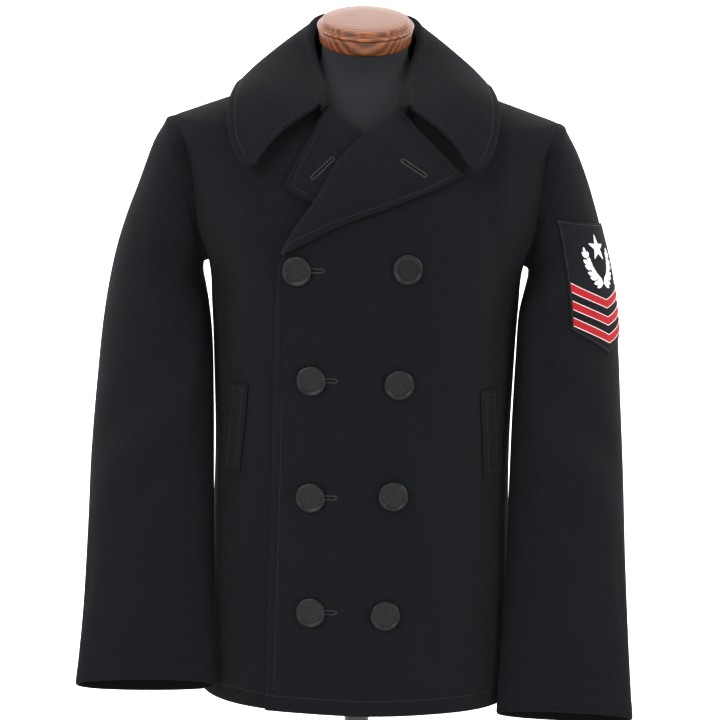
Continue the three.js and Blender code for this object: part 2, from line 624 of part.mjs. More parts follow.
// A solid through rings of points, closed at both ends
function loftClosed(rings) {
  const count = rings[0].length;
  const positions = rings.flat().flatMap((p) => [p.x, p.y, p.z]);
  const faces = [];
  for (let r = 0; r < rings.length - 1; r += 1) {
    for (let c = 0; c < count; c += 1) {
      const next = (c + 1) % count;
      const [a, b] = [r * count + c, r * count + next];
      faces.push(a, b, b + count, a, b + count, a + count);
    }
  }
  const last = (rings.length - 1) * count;
  for (let c = 1; c < count - 1; c += 1) faces.push(0, c + 1, c, last, last + c, last + c + 1);
  const geometry = new THREE.BufferGeometry();
  geometry.setAttribute("position", new THREE.Float32BufferAttribute(positions, 3));
  geometry.setIndex(faces);
  return facingOut(geometry);
}
// A turned solid round Z, from pairs of radius and height
function turned(profile, segments) {
  const shape = new THREE.LatheGeometry(profile.map(([x, y]) => new THREE.Vector2(x, y)), segments);
  shape.deleteAttribute("normal");
  shape.deleteAttribute("uv");
  shape.rotateX(Math.PI / 2);
  return facingOut(mergeVertices(shape, 1e-3));
}
const WOOD = { color: 0x6e3418, roughness: 0.3, metalness: 0 };
const JERSEY = { color: 0x2b2d30, roughness: 0.9, metalness: 0 };
const STEEL = { color: 0x1a1a1a, roughness: 0.4, metalness: 0.6 };
const CAP_PROFILE = [
  [0, 0.4], [48.6, 0.4], [51, 6], [52, 14], [53.6, 17], [54, 19.5], [53, 21.6], [49, 22.6], [48.6, 25], [47, 27], [0, 28],
];
const BASE_PROFILE = [
  [0, 0], [150, 0], [153, 3], [153, 9], [149, 13], [143, 14], [139, 18], [40, 21], [30, 26], [22, 34], [0, 34],
];
const BASE_TOP = 34;
const POLE_RADIUS = 14;

add("front_left", frontPanel(1), wool());
add("front_right", frontPanel(-1), wool());
add("back_left", backPanel(1), wool());
add("back_right", backPanel(-1), wool());
add("lapel_left", lapelPanel(1), wool());
add("lapel_right", lapelPanel(-1), wool());
add("collar", collarPanel(), wool());
add("upper_sleeve_right", sleevePanel(SLEEVE_RIGHT, -1, -90, 150), wool());
add("under_sleeve_right", sleevePanel(SLEEVE_RIGHT, -1, 150, 270), wool());
add("upper_sleeve_left", sleevePanel(SLEEVE_LEFT, 1, -90, 150), wool());
add("under_sleeve_left", sleevePanel(SLEEVE_LEFT, 1, 150, 270), wool());

add("pocket_welt_left", pocketWelt(1), wool());
add("pocket_welt_right", pocketWelt(-1), wool());
add("sleeve_badge", sleeveBadge(), new THREE.MeshStandardMaterial({ color: 0x1c1e22, roughness: 0.9 }));
for (const b of BUTTONS) {
  sewButton(`button_outer_${b.row}`, b.outerX, b.outerZ);
  sewButton(`button_inner_${b.row}`, b.innerX, b.innerZ);
}

add("form_body", formBody(), new THREE.MeshStandardMaterial(JERSEY));
const cap = add("form_neck_cap", turned(CAP_PROFILE, 32), new THREE.MeshStandardMaterial(WOOD));
cap.position.set(NECK_LEAN, 0, NECK_TOP);
cap.rotation.x = CAP_TILT;
add("stand_base", turned(BASE_PROFILE, 32), new THREE.MeshStandardMaterial(WOOD));
const poleLength = FORM_BOTTOM - BASE_TOP - 2 * SEAM_GAP;
const pole = new THREE.CylinderGeometry(POLE_RADIUS, POLE_RADIUS, poleLength, 24).rotateX(Math.PI / 2);
const standPole = add("stand_pole", pole, new THREE.MeshStandardMaterial(STEEL));
standPole.position.z = (FORM_BOTTOM + BASE_TOP) / 2;

export default coat;
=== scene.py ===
# %% [markdown]
# # A pea coat on a dress form
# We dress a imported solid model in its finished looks. The coat is double-breasted, of thick felted wool
# called melton, with eight moulded buttons, wide lapels and a badge sewn to one sleeve. It hangs on a
# jersey-covered form with a varnished wooden cap.
# The first step loads the solid model. It gives every piece its place and size, so nothing here is scaled.

# %% Load the solid model
import math
import bpy
import bmesh
import numpy as np
from mathutils import Matrix, Quaternion, Vector


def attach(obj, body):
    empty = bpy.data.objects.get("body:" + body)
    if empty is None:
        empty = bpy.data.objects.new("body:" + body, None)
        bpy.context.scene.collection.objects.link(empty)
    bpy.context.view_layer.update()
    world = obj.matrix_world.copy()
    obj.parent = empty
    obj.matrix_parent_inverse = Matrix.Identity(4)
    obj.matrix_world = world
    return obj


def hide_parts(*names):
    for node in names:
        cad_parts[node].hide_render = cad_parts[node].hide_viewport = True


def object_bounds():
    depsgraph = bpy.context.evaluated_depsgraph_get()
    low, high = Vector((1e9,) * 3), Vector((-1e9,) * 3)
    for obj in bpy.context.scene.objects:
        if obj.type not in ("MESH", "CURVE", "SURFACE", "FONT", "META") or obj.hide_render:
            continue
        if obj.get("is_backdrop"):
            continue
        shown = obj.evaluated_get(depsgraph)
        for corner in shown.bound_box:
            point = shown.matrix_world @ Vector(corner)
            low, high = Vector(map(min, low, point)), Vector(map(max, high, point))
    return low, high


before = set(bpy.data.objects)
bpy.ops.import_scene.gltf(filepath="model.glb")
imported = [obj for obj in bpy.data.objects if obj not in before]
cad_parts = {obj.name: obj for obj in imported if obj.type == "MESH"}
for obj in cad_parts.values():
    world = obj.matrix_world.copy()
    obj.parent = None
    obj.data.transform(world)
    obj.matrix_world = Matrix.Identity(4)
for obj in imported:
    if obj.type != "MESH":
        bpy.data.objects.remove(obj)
cad_low, cad_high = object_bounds()
print("solid model", len(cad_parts), "nodes, height", round(cad_high[2] - cad_low[2], 3), "m")
MM = 0.001

# %% [markdown]
# The camera stands where the photographer stood: low, far away and with a long lens, which keeps the
# sleeves from leaning outwards. The photograph is a little crooked, so the camera is rolled by the same
# angle.

# %% Camera
CAMERA_DISTANCE = 4.5
CAMERA_ELEVATION = math.radians(10.5)
CAMERA_ROLL = math.radians(1.2)
CAMERA_TARGET = Vector((-0.0045, 0, 0.498))
CAMERA_LENS = 199.1

camera = bpy.data.objects.new("camera", bpy.data.cameras.new("camera"))
bpy.context.scene.collection.objects.link(camera)
bpy.context.scene.camera = camera
camera.data.lens = CAMERA_LENS
camera.data.sensor_width = 36
back = Vector((0, -math.cos(CAMERA_ELEVATION), math.sin(CAMERA_ELEVATION)))
camera.location = CAMERA_TARGET + CAMERA_DISTANCE * back
camera.rotation_mode = "QUATERNION"
camera.rotation_quaternion = back.to_track_quat("Z", "Y") @ Quaternion((0, 0, 1), CAMERA_ROLL)
print("camera at", tuple(round(v, 3) for v in camera.location))

# %% [markdown]
# Black wool swallows light, so its folds only show where a large soft light rakes over them. One big
# panel stands on each side and in front, and a pale sweep behind the form gives the white ground. The
# sweep's paper is clear from its back, so a view from behind the form still shows it.

# %% Floor, backdrop and lights
SWEEP_DEPTH = 2.6
SWEEP_HEIGHT = 4.0
SWEEP_WIDTH = 14.0
SWEEP_BEND = 1.2
SWEEP_FRONT = -6.0
SWEEP_STEPS = 12
PAPER = (0.9, 0.9, 0.9, 1)


def sweep_paint():
    paint = bpy.data.materials.new("pale_paper")
    paint.use_nodes = True
    nodes, links = paint.node_tree.nodes, paint.node_tree.links
    shader = nodes["Principled BSDF"]
    shader.inputs["Base Color"].default_value = PAPER
    shader.inputs["Roughness"].default_value = 0.9
    side = nodes.new("ShaderNodeNewGeometry")
    clear = nodes.new("ShaderNodeBsdfTransparent")
    either = nodes.new("ShaderNodeMixShader")
    links.new(side.outputs["Backfacing"], either.inputs["Fac"])
    links.new(shader.outputs["BSDF"], either.inputs[1])
    links.new(clear.outputs["BSDF"], either.inputs[2])
    links.new(either.outputs["Shader"], nodes["Material Output"].inputs["Surface"])
    return paint


def make_sweep():
    flat_end = SWEEP_DEPTH - SWEEP_BEND
    profile = [(SWEEP_FRONT, 0.0), (flat_end, 0.0)]
    for step in range(1, SWEEP_STEPS + 1):
        turn = math.pi / 2 * step / SWEEP_STEPS
        profile.append((flat_end + SWEEP_BEND * math.sin(turn), SWEEP_BEND * (1 - math.cos(turn))))
    profile.append((SWEEP_DEPTH, SWEEP_HEIGHT))
    verts = [(side * SWEEP_WIDTH / 2, y, z) for y, z in profile for side in (-1, 1)]
    faces = [(2 * i, 2 * i + 1, 2 * i + 3, 2 * i + 2) for i in range(len(profile) - 1)]
    mesh = bpy.data.meshes.new("sweep")
    mesh.from_pydata(verts, [], faces)
    mesh.polygons.foreach_set("use_smooth", [True] * len(mesh.polygons))
    sweep = bpy.data.objects.new("sweep", mesh)
    bpy.context.scene.collection.objects.link(sweep)
    mesh.materials.append(sweep_paint())
    sweep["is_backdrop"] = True
    return sweep


def soft_light(name, place, aim, size, power):
    light = bpy.data.lights.new(name, "AREA")
    light.shape = "RECTANGLE"
    light.size, light.size_y = size
    light.energy = power
    lamp = bpy.data.objects.new(name, light)
    lamp.location = place
    lamp.rotation_mode = "QUATERNION"
    lamp.rotation_quaternion = (Vector(place) - Vector(aim)).to_track_quat("Z", "Y")
    bpy.context.scene.collection.objects.link(lamp)
    return lamp


make_sweep()
soft_light("key", (-2.2, -2.4, 2.4), (0, 0, 0.55), (1.8, 1.8), 150)
soft_light("fill", (2.6, -2.0, 1.5), (0, 0, 0.5), (1.6, 2.2), 90)
soft_light("top", (0.0, -0.2, 3.2), (0, 0, 0.6), (2.2, 1.6), 90)
soft_light("sweep_left", (-3.4, 0.6, 2.4), (0.5, 2.6, 0.9), (1.5, 2.0), 130)
soft_light("sweep_right", (3.4, 0.6, 2.4), (-0.5, 2.6, 0.9), (1.5, 2.0), 130)
world = bpy.data.worlds.new("studio")
world.use_nodes = True
world.node_tree.nodes["Background"].inputs["Color"].default_value = (1, 1, 1, 1)
world.node_tree.nodes["Background"].inputs["Strength"].default_value = 0.8
bpy.context.scene.world = world
bpy.context.scene.view_settings.view_transform = "Standard"

# %% [markdown]
# ## The cut of the coat
# A tailor drafts a coat from a few measures. Here the draft is a set of short tables, in millimetres: the
# body's width and depth at some heights, the armhole, the line where the lapels roll, and the sleeves' rings.
# Between the rows we take a smooth curve, and numpy works out thousands of points at once.

# %% Driving sizes and tables
CLOTH = 3.0
HEM_Z = 120
ARMPIT_Z = 612
SHOULDER_Z, SHOULDER_WIDTH = 771, 212
NECK_Z, NECK_WIDTH = 819, 76
NECK_LEAN = -6
BREAK_Z = 626
GORGE_Z = 797
LAYER = 4.5
SQUARENESS = 0.08


def table(names, *rows):
    return {name: np.array([row[i] for row in rows], float) for i, name in enumerate(names.split())}


TORSO = table(
    "z width front back",
    (100, 179, 134, 124), (200, 172, 132, 117), (300, 167, 130, 108), (400, 165, 128, 102),
    (500, 168, 130, 105), (560, 171, 131, 111), (612, 176, 130, 116), (650, 196, 127, 117),
    (690, 207, 121, 111), (730, 210, 110, 101), (771, 212, 92, 84), (795, 144, 80, 76), (819, 76, 66, 66),
)
ARMHOLE = table(
    "z front back",
    (612, 176, 176), (625, 177, 179), (648, 186, 187), (688, 191, 192), (726, 196, 197),
    (751, 202, 203), (771, 212, 212),
)
FRONT_EDGE = table("z x", (120, -100), (330, -97), (500, -96), (580, -95), (626, -92))
ROLL = table(
    "z x",
    (626, -92), (655, -77), (698, -49), (736, -26), (757, -4), (775, 20), (790, 38), (806, 56), (817, 68),
)
LAPEL_UPPER = table(
    "along x z",
    (0, -80, 641), (0.12, -65, 649), (0.3, -24, 671), (0.5, 44, 697), (0.68, 106, 724), (1, 47, 781),
)
LAPEL_UNDER = table(
    "along x z",
    (0, -80, 641), (0.12, -65, 649), (0.3, -22, 668), (0.48, 36, 686), (0.68, 94, 706), (1, 46, 786),
)


def column(rows, key, at, name):
    keys, values = rows[key], rows[name]
    at = np.clip(np.asarray(at, float), keys[0], keys[-1])
    i = np.clip(np.searchsorted(keys, at, side="right") - 1, 0, len(keys) - 2)
    slopes = np.empty(len(keys))
    slopes[1:-1] = (values[2:] - values[:-2]) / (keys[2:] - keys[:-2])
    slopes[0] = (values[1] - values[0]) / (keys[1] - keys[0])
    slopes[-1] = (values[-1] - values[-2]) / (keys[-1] - keys[-2])
    span = keys[i + 1] - keys[i]
    t = (at - keys[i]) / span
    low = (1 + 2 * t) * (1 - t) ** 2 * values[i] + t * (1 - t) ** 2 * span * slopes[i]
    return low + t * t * (3 - 2 * t) * values[i + 1] + t * t * (t - 1) * span * slopes[i + 1]


def smooth(start, end, at):
    t = np.clip((np.asarray(at, float) - start) / (end - start), 0, 1)
    return t * t * (3 - 2 * t)


def unit(vectors):
    return vectors / np.maximum(np.linalg.norm(vectors, axis=-1, keepdims=True), 1e-9)


def half_width(z):
    straight = SHOULDER_WIDTH + (NECK_WIDTH - SHOULDER_WIDTH) * (z - SHOULDER_Z) / (NECK_Z - SHOULDER_Z)
    return np.where(z <= SHOULDER_Z, column(TORSO, "z", z, "width"), straight)


def lean(z):
    return NECK_LEAN * smooth(690, 830, z)


print("at the chest the coat is", 2 * round(float(half_width(np.array(600.0)))), "mm wide")

# %% [markdown]
# The body of the coat is one surface: an angle round the wearer and a height give a point on it. Zero is the
# left side seam and a quarter turn is the centre front. Every panel, lapel, pocket and button is placed on
# this surface, a little further out for each layer of cloth, so the layers never cut through each other.

# %% The body surface
def torso_point(angle, z):
    angle, z = np.broadcast_arrays(np.asarray(angle, float), np.asarray(z, float))
    c, s = np.cos(angle), np.sin(angle)
    depth = np.where(s > 0, column(TORSO, "z", z, "front"), column(TORSO, "z", z, "back"))
    x = half_width(z) * c * (1 + SQUARENESS * s * s)
    return np.stack([lean(z) + x, -depth * s * (1 + SQUARENESS * c * c), z], axis=-1)


def torso_normal(angle, z):
    across = torso_point(angle + 0.01, z) - torso_point(angle - 0.01, z)
    up = torso_point(angle, z + 2.0) - torso_point(angle, z - 2.0)
    return unit(np.cross(up, across))


def front_angle(x, z):
    x, z = np.broadcast_arrays(np.asarray(x, float), np.asarray(z, float))
    low, high = np.zeros(x.shape), np.full(x.shape, math.pi)
    for _ in range(30):
        middle = (low + high) / 2
        outside = torso_point(middle, z)[..., 0] - lean(z) > x
        low, high = np.where(outside, middle, low), np.where(outside, high, middle)
    return (low + high) / 2


print("centre front at the chest:", torso_point(math.pi / 2, 600.0).round(1))

# %% [markdown]
# ## Folds
# Melton is thick and stiff, so it falls in few, soft folds. Each fold here is a line with a width and a
# height, rounded like a bell across and fading at its ends. A fold below zero is a dent. The strongest ones
# drag from button to button, hang from the chest, and gather beside the armholes.

# %% Folds of the body
UPPER_FOLDS = [
    (-24, 482, 0, 400, 16, 2.5), (20, 462, 84, 322, 20, 4), (-8, 205, 0, 130, 20, 2.5),
    (150, 722, 146, 660, 13, 5), (150, 610, 140, 500, 16, -3),
    (58, 610, 96, 520, 15, 1.6), (76, 300, 104, 190, 17, 2.2), (118, 690, 128, 610, 12, 2.0),
    (6, 590, 20, 530, 14, 1.4), (-84, 560, -72, 470, 11, 1.2), (60, 250, 52, 150, 15, 1.6),
]
UNDER_FOLDS = [
    (-150, 640, -154, 520, 15, -4), (-134, 420, -136, 200, 20, 4),
    (-118, 590, -108, 500, 12, -1.6), (-122, 700, -140, 640, 11, 2.4), (-112, 330, -116, 220, 13, -1.8),
]
BACK_FOLDS = [
    (-60, 640, -96, 520, 18, 3.0), (64, 630, 102, 505, 18, 3.0), (-132, 600, -128, 520, 14, -2.5),
    (134, 600, 130, 515, 14, -2.5), (-40, 470, -70, 360, 20, -2.2), (44, 460, 78, 350, 20, -2.2),
    (-70, 330, -92, 150, 24, 3.4), (66, 320, 96, 150, 24, 3.4), (-12, 260, -16, 140, 18, -1.8),
    (-84, 760, -128, 700, 16, 1.8), (86, 758, 130, 698, 16, 1.8),
]


def fold_height(folds, x, z):
    height = np.zeros(np.broadcast(x, z).shape)
    for x1, z1, x2, z2, wide, tall in folds:
        dx, dz = x2 - x1, z2 - z1
        along = np.clip(((x - x1) * dx + (z - z1) * dz) / (dx * dx + dz * dz), 0, 1)
        away = np.hypot(x - x1 - along * dx, z - z1 - along * dz) / wide
        height += tall * np.exp(-away * away) * (0.35 + 0.65 * np.sin(math.pi * along))
    return height


def hem_wave(x, z):
    loose = smooth(330, 110, z)
    return loose * (1.3 * np.sin(x / 23 + 0.6) + 0.9 * np.sin(x / 41 + 2.1))




def cloth_point(angle, z, out, part):
    """Where the cloth lies: part is upper or under, for the two fronts, or back."""
    point = torso_point(angle, z)
    x = point[..., 0] - lean(z)
    folds = {"upper": UPPER_FOLDS, "under": UNDER_FOLDS, "back": BACK_FOLDS}[part]
    height = fold_height(folds, x, z) * smooth(0, 14, np.abs(np.abs(x) - half_width(z)))
    if part != "under":
        height = height + hem_wave(x, z) * smooth(6, 60, half_width(z) - np.abs(x))
    return point + torso_normal(angle, z) * (np.asarray(out) + height)[..., None]


def cloth_at(x, z, out, part):
    return cloth_point(front_angle(x, z), z, out, part)


def edge_x(z):
    """Where the upper front ends: on its edge, or on its roll line above the break."""
    return np.where(z < BREAK_Z, column(FRONT_EDGE, "z", z, "x"), column(ROLL, "z", z, "x"))


def upper_lift(x, z):
    layers = LAYER + LAYER * smooth(540, BREAK_Z, z)
    reach = -edge_x(z)
    return layers * smooth(reach + 75, reach + 6, x)


print("folds in front and behind:", len(UPPER_FOLDS + UNDER_FOLDS), len(BACK_FOLDS))

# %% [markdown]
# ## From a sheet of points to cloth
# A real coat edge is two layers turned in and sewn, so it is thick and round, and a line of topstitching
# pulls a shallow groove along it. We get both from one number for each point: its distance from the edge.
# Half the cloth's thickness grows from nothing at the edge as a quarter circle does, so the rim is round and
# closed, and the groove is a narrow dip at the stitching's distance.

# %% A closed, round-edged piece of cloth
STITCH_INSET = 9.5
GROOVE_DEPTH = 0.55
GROOVE_WIDTH = 1.3
EDGE_PUFF = 0.45


def edge_steps(reach, step, stitched):
    """Distances from an edge: close together round the rim and the stitching, then even."""
    near = [0, 0.15, 0.5, 1.0, 1.6, 2.6, 4.4]
    if stitched:
        near += [6.4, 7.6, 8.4, 9.0, 9.5, 10.0, 10.6, 11.4, 12.8, 15]
    else:
        near += [6.4, 8.6, 11.4, 15]
    return np.array(near + list(np.arange(15 + step, reach, step)))


def grid_normals(points):
    up = np.gradient(points, axis=0)
    across = np.gradient(points, axis=1)
    return unit(np.cross(across, up))


def new_piece(name, verts, faces, smooth_shade=True):
    mesh = bpy.data.meshes.new(name)
    mesh.from_pydata((np.asarray(verts) * MM).tolist(), [], faces)
    mesh.validate()
    if smooth_shade:
        mesh.polygons.foreach_set("use_smooth", [True] * len(mesh.polygons))
    piece = bpy.data.objects.new(name, mesh)
    bpy.context.scene.collection.objects.link(piece)
    return piece


def volume_of(piece):
    shape = bmesh.new()
    shape.from_mesh(piece.data)
    volume = shape.calc_volume(signed=True)
    shape.free()
    return volume


def face_outwards(piece):
    if volume_of(piece) < 0:
        piece.data.flip_normals()
    return piece


surfaces = {}


def cloth_piece(name, middle, normal, edge, thickness=CLOTH, grooves=(), relief=1.0):
    """A wall round a grid of middle points: edge is how far each point is from the nearest rim.
    A groove is a distance from a rim, and the distance at which its stitching runs. Relief makes it
    deeper."""
    rows, cols = middle.shape[:2]
    radius = thickness / 2
    half = radius * np.sqrt(np.clip(1 - (1 - np.clip(edge / radius, 0, 1)) ** 2, 0, 1))
    outer_half = half.copy()
    for distance, inset in grooves:
        puff = EDGE_PUFF * smooth(inset - 1, inset / 2, distance) * smooth(0.5, 3, distance)
        groove = GROOVE_DEPTH * np.exp(-((distance - inset) / GROOVE_WIDTH) ** 2)
        outer_half += (puff - groove) * relief
    outer = middle + normal * outer_half[..., None]
    surfaces[name] = {"points": outer, "normals": normal, "grooves": [distance for distance, _ in grooves]}
    inner = middle - normal * half[..., None]
    inside = np.full((rows, cols), -1)
    inside[1:-1, 1:-1] = rows * cols + np.arange((rows - 2) * (cols - 2)).reshape(rows - 2, cols - 2)
    top = np.arange(rows * cols).reshape(rows, cols)
    inside = np.where(inside < 0, top, inside)
    verts = np.concatenate([outer.reshape(-1, 3), inner[1:-1, 1:-1].reshape(-1, 3)])
    faces = []
    for index, flip in ((top, False), (inside, True)):
        corners = [index[:-1, :-1], index[:-1, 1:], index[1:, 1:], index[1:, :-1]]
        quads = np.stack(corners, axis=-1).reshape(-1, 4)
        faces += (quads[:, ::-1] if flip else quads).tolist()
    return face_outwards(new_piece(name, verts, faces))

# %% [markdown]
# ## Fronts and backs
# Each panel is a grid: rows run across the coat at one height, and columns keep a steady distance from the
# front edge, so that the round rim and the stitching stay true all the way down. The left front closes over
# the right one, as on every man's coat.

# %% Fronts
ROW_HEIGHTS = np.concatenate([
    HEM_Z + np.array([0, 0.15, 0.5, 1.0, 1.6, 2.6, 4.4, 6.4, 9, 12, 14.5, 16, 17, 18, 19, 20, 22]),
    np.arange(HEM_Z + 26, 756, 4.6), np.arange(757, 815, 1.7), [815.4, 815.8, 816],
])
HEM_STITCH = 18
SEAM_FLAT = 0.6  # a seamed side keeps most of its thickness, so no light shows through the seam
SIDE_STEPS = edge_steps(16, 5, False)


def side_angle(z, part):
    hole = np.where((z > ARMPIT_Z) & (z < SHOULDER_Z - 1), front_angle(column(ARMHOLE, "z", z, part), z), 0)
    return np.maximum(hole, 0.02 / column(TORSO, "z", z, part))


def spread(length, first, last, middle):
    """Distances along a row: the first and last steps keep their size, and the middle ones share the rest."""
    size = min(1.0, length / (first[-1] + last[-1] + 6))
    ends = first * size, length - last[::-1] * size
    return np.concatenate([ends[0], np.linspace(ends[0][-1], ends[1][0], middle + 2)[1:-1], ends[1]])


def panel_rows(heights, start, end, first, last, middle):
    """For each height, the angles of a row's columns and their distances from both ends."""
    angles, near, far = [], [], []
    for z, a, b in zip(heights, start, end):
        dense = np.linspace(a, b, 300)
        points = torso_point(dense, z)
        run = np.concatenate([[0], np.cumsum(np.linalg.norm(np.diff(points, axis=0), axis=1))])
        places = spread(run[-1], first, last, middle)
        angles.append(np.interp(places, run, dense))
        near.append(places)
        far.append(run[-1] - places)
    return np.array(angles), np.array(near), np.array(far)


def front_panel(side):
    upper = side > 0
    part = "upper" if upper else "under"
    z = ROW_HEIGHTS
    stitched = edge_steps(20, 5, True)
    start, end = front_angle(edge_x(z), z), side_angle(z, "front")
    angles, near, far = panel_rows(z, start, end, stitched, SIDE_STEPS, 58)
    heights = np.repeat(z[:, None], angles.shape[1], axis=1)
    x = torso_point(angles, heights)[..., 0] - lean(heights)
    lift = upper_lift(x, heights) if upper else np.zeros(x.shape)
    lift = lift + (1.1 * np.exp(-(near / 16) ** 2) * smooth(BREAK_Z, 560, heights) if upper else 0)
    turned = angles if upper else math.pi - angles
    middle = cloth_point(turned, heights, lift, part)
    normal = torso_normal(turned, heights)
    hem, top = heights - HEM_Z, (heights[-1, 0] + 0.3 - heights) * 1.5
    edge = np.minimum(np.minimum(near, far + SEAM_FLAT), np.minimum(hem, top))
    front_stitch = near + 30 * smooth(BREAK_Z - 30, BREAK_Z - 5, heights)
    piece = cloth_piece(f"front_{'left' if upper else 'right'}_cloth", middle, normal, edge,
                        grooves=((front_stitch, STITCH_INSET), (hem, HEM_STITCH)))
    return piece


def back_panel(side):
    z = ROW_HEIGHTS
    start = math.pi / 2 - 0.02 / half_width(z)
    angles, near, far = panel_rows(z, start, side_angle(z, "back"), SIDE_STEPS, SIDE_STEPS, 46)
    heights = np.repeat(z[:, None], angles.shape[1], axis=1)
    turned = 2 * math.pi - angles if side > 0 else math.pi + angles
    middle = cloth_point(turned, heights, 0.0, "back")
    normal = torso_normal(turned, heights)
    hem, top = heights - HEM_Z, (heights[-1, 0] + 0.3 - heights) * 1.5
    edge = np.minimum(np.minimum(near, far) + SEAM_FLAT, np.minimum(hem, top))
    return cloth_piece(f"back_{'left' if side > 0 else 'right'}_cloth", middle, normal, edge,
                       grooves=((hem, HEM_STITCH),))


fronts = {side: front_panel(side) for side in (1, -1)}
backs = {side: back_panel(side) for side in (1, -1)}
print("panel faces:", [len(p.data.polygons) for p in (*fronts.values(), *backs.values())])

# %% [markdown]
# ## Lapels
# A lapel is the top of the front turned back on itself. It is never pressed flat on a coat this thick: it
# leaves the body in a soft roll and settles again towards its point. Its rows run from the roll line to the
# outer edge, and the first few go round the roll.

# %% Lapels
LAPEL_TIP = 0.68
LAPEL_TURN = [(3.0, -0.8), (3.5, 0.4), (3.6, 1.7), (3.2, 2.9), (2.3, 3.9), (1.0, 4.6), (-0.8, 5.0)]
LAPEL_BOW = 3.2


def lapel_end(outline, along, rounding):
    """Outer edge of a lapel: curved below, up to the point, then straight to the collar."""
    x, z = np.interp(along, outline["along"], outline["x"]), np.interp(along, outline["along"], outline["z"])
    curved = column(outline, "along", along, "x"), column(outline, "along", along, "z")
    below = smooth(LAPEL_TIP, LAPEL_TIP - 0.3, along)
    x, z = x + (curved[0] - x) * below, z + (curved[1] - z) * below
    tip = outline["along"] == LAPEL_TIP
    middle_x, middle_z = outline["x"][tip][0] - 2.2 * rounding, outline["z"][tip][0] + 0.6 * rounding
    near = np.exp(-((along - LAPEL_TIP) / 0.05) ** 2) * min(1, rounding / 6) * 0.5
    return x + (middle_x - x) * near, z + (middle_z - z) * near


def lapel_panel(side):
    upper = side > 0
    part = "upper" if upper else "under"
    outline, rounding = (LAPEL_UPPER, 1.5) if upper else (LAPEL_UNDER, 5)
    low, high = np.linspace(0, LAPEL_TIP, 75), np.linspace(LAPEL_TIP, 1, 45)[1:]
    rows = []
    far_rows = []
    for along in np.concatenate([low, high]):
        roll_z = BREAK_Z + 12 + (GORGE_Z - 16 - BREAK_Z) * along
        roll_x = float(edge_x(roll_z))
        end_x, end_z = (float(v) for v in lapel_end(outline, np.array(along), rounding))
        length = math.hypot(end_x - roll_x, end_z - roll_z)
        turn = np.array(LAPEL_TURN)
        last = edge_steps(16, 5, True) if length > 40 else edge_steps(16, 5, True) * length / 40
        flat = spread(max(length - 3, 4), np.array([0, 3.0]), last, 26) + 3
        far = np.concatenate([-turn[:, 0], flat])
        bow = LAPEL_BOW * np.sin(math.pi * np.clip(flat / max(length, 8), 0, 1)) * min(1, length / 60)
        out = np.concatenate([turn[:, 1], LAYER + 0.7 + bow])
        x = roll_x + (end_x - roll_x) * far / length
        z = roll_z + (end_z - roll_z) * far / length
        lift = upper_lift(x, z) if upper else 0
        rows.append(cloth_at(side * x, z, out + lift, part))
        far_rows.append(far)
    middle = np.array(rows)
    normal = grid_normals(middle)
    if (normal[60, 20] @ torso_normal(front_angle(0.0, 720.0), 720.0)) < 0:
        normal = -normal
    across, down = edge_distances(middle)
    edge = np.minimum(np.minimum(across[0], across[1]), np.minimum(down[0], down[1]))
    outer_edge = np.minimum(across[1], np.minimum(down[1] + 4, down[0] + 60))
    return cloth_piece(f"lapel_{'left' if upper else 'right'}_cloth", middle, normal, edge,
                       grooves=((outer_edge, STITCH_INSET),))


def edge_distances(points):
    """How far each point of a grid is from its first and last column, and from its first and last row."""
    found = []
    for axis in (1, 0):
        steps = np.linalg.norm(np.diff(points, axis=axis), axis=2)
        zero = np.zeros_like(np.take(steps, [0], axis=axis))
        run = np.concatenate([zero, np.cumsum(steps, axis=axis)], axis=axis)
        found.append((run, np.take(run, [-1], axis=axis) - run))
    return found


lapels = {side: lapel_panel(side) for side in (1, -1)}
print("lapel faces:", [len(p.data.polygons) for p in lapels.values()])

# %% [markdown]
# ## Collar
# The collar stands up round the neck, rolls over and falls to the shoulders, and its two front ends meet the
# lapels in a notch. One section is drawn at each place along it, seam to roll to outer edge, and sections
# from the right end round the back of the neck to the left end make the whole sheet.

# %% Collar
COLLAR = table(
    "along seam_x seam_y seam_z roll_x roll_y roll_z edge_x edge_y edge_z",
    (0, 0, 64, 817.4, 0, 63, 884, 0, 104, 804),
    (0.16, 38, 58, 817.4, 33, 57, 884, 66, 97, 801),
    (0.32, 66, 36, 817.4, 54, 38, 880, 117, 70, 801),
    (0.46, 79, 6, 817.4, 62, 10, 866, 140, 32, 804),
    (0.58, 76, -22, 816.6, 59, -14, 848, 144, -8, 806),
    (0.7, 63, -46, 814.6, 53, -42, 829, 149, -58, 796),
    (0.82, 52, -65, 810, 48, -66, 818, 149, -87, 774),
    (0.92, 46, -80, 804, 47, -84, 809, 142, -104, 748),
    (1, 46, -92, 791, 49, -97, 799, 127, -119, 725),
)
ROLL_RADIUS = 4.5
FALL_BOW = 7.0
COLLAR_HALF, COLLAR_CORNER = 330, 15
UP = np.array([0.0, 0.0, 1.0])


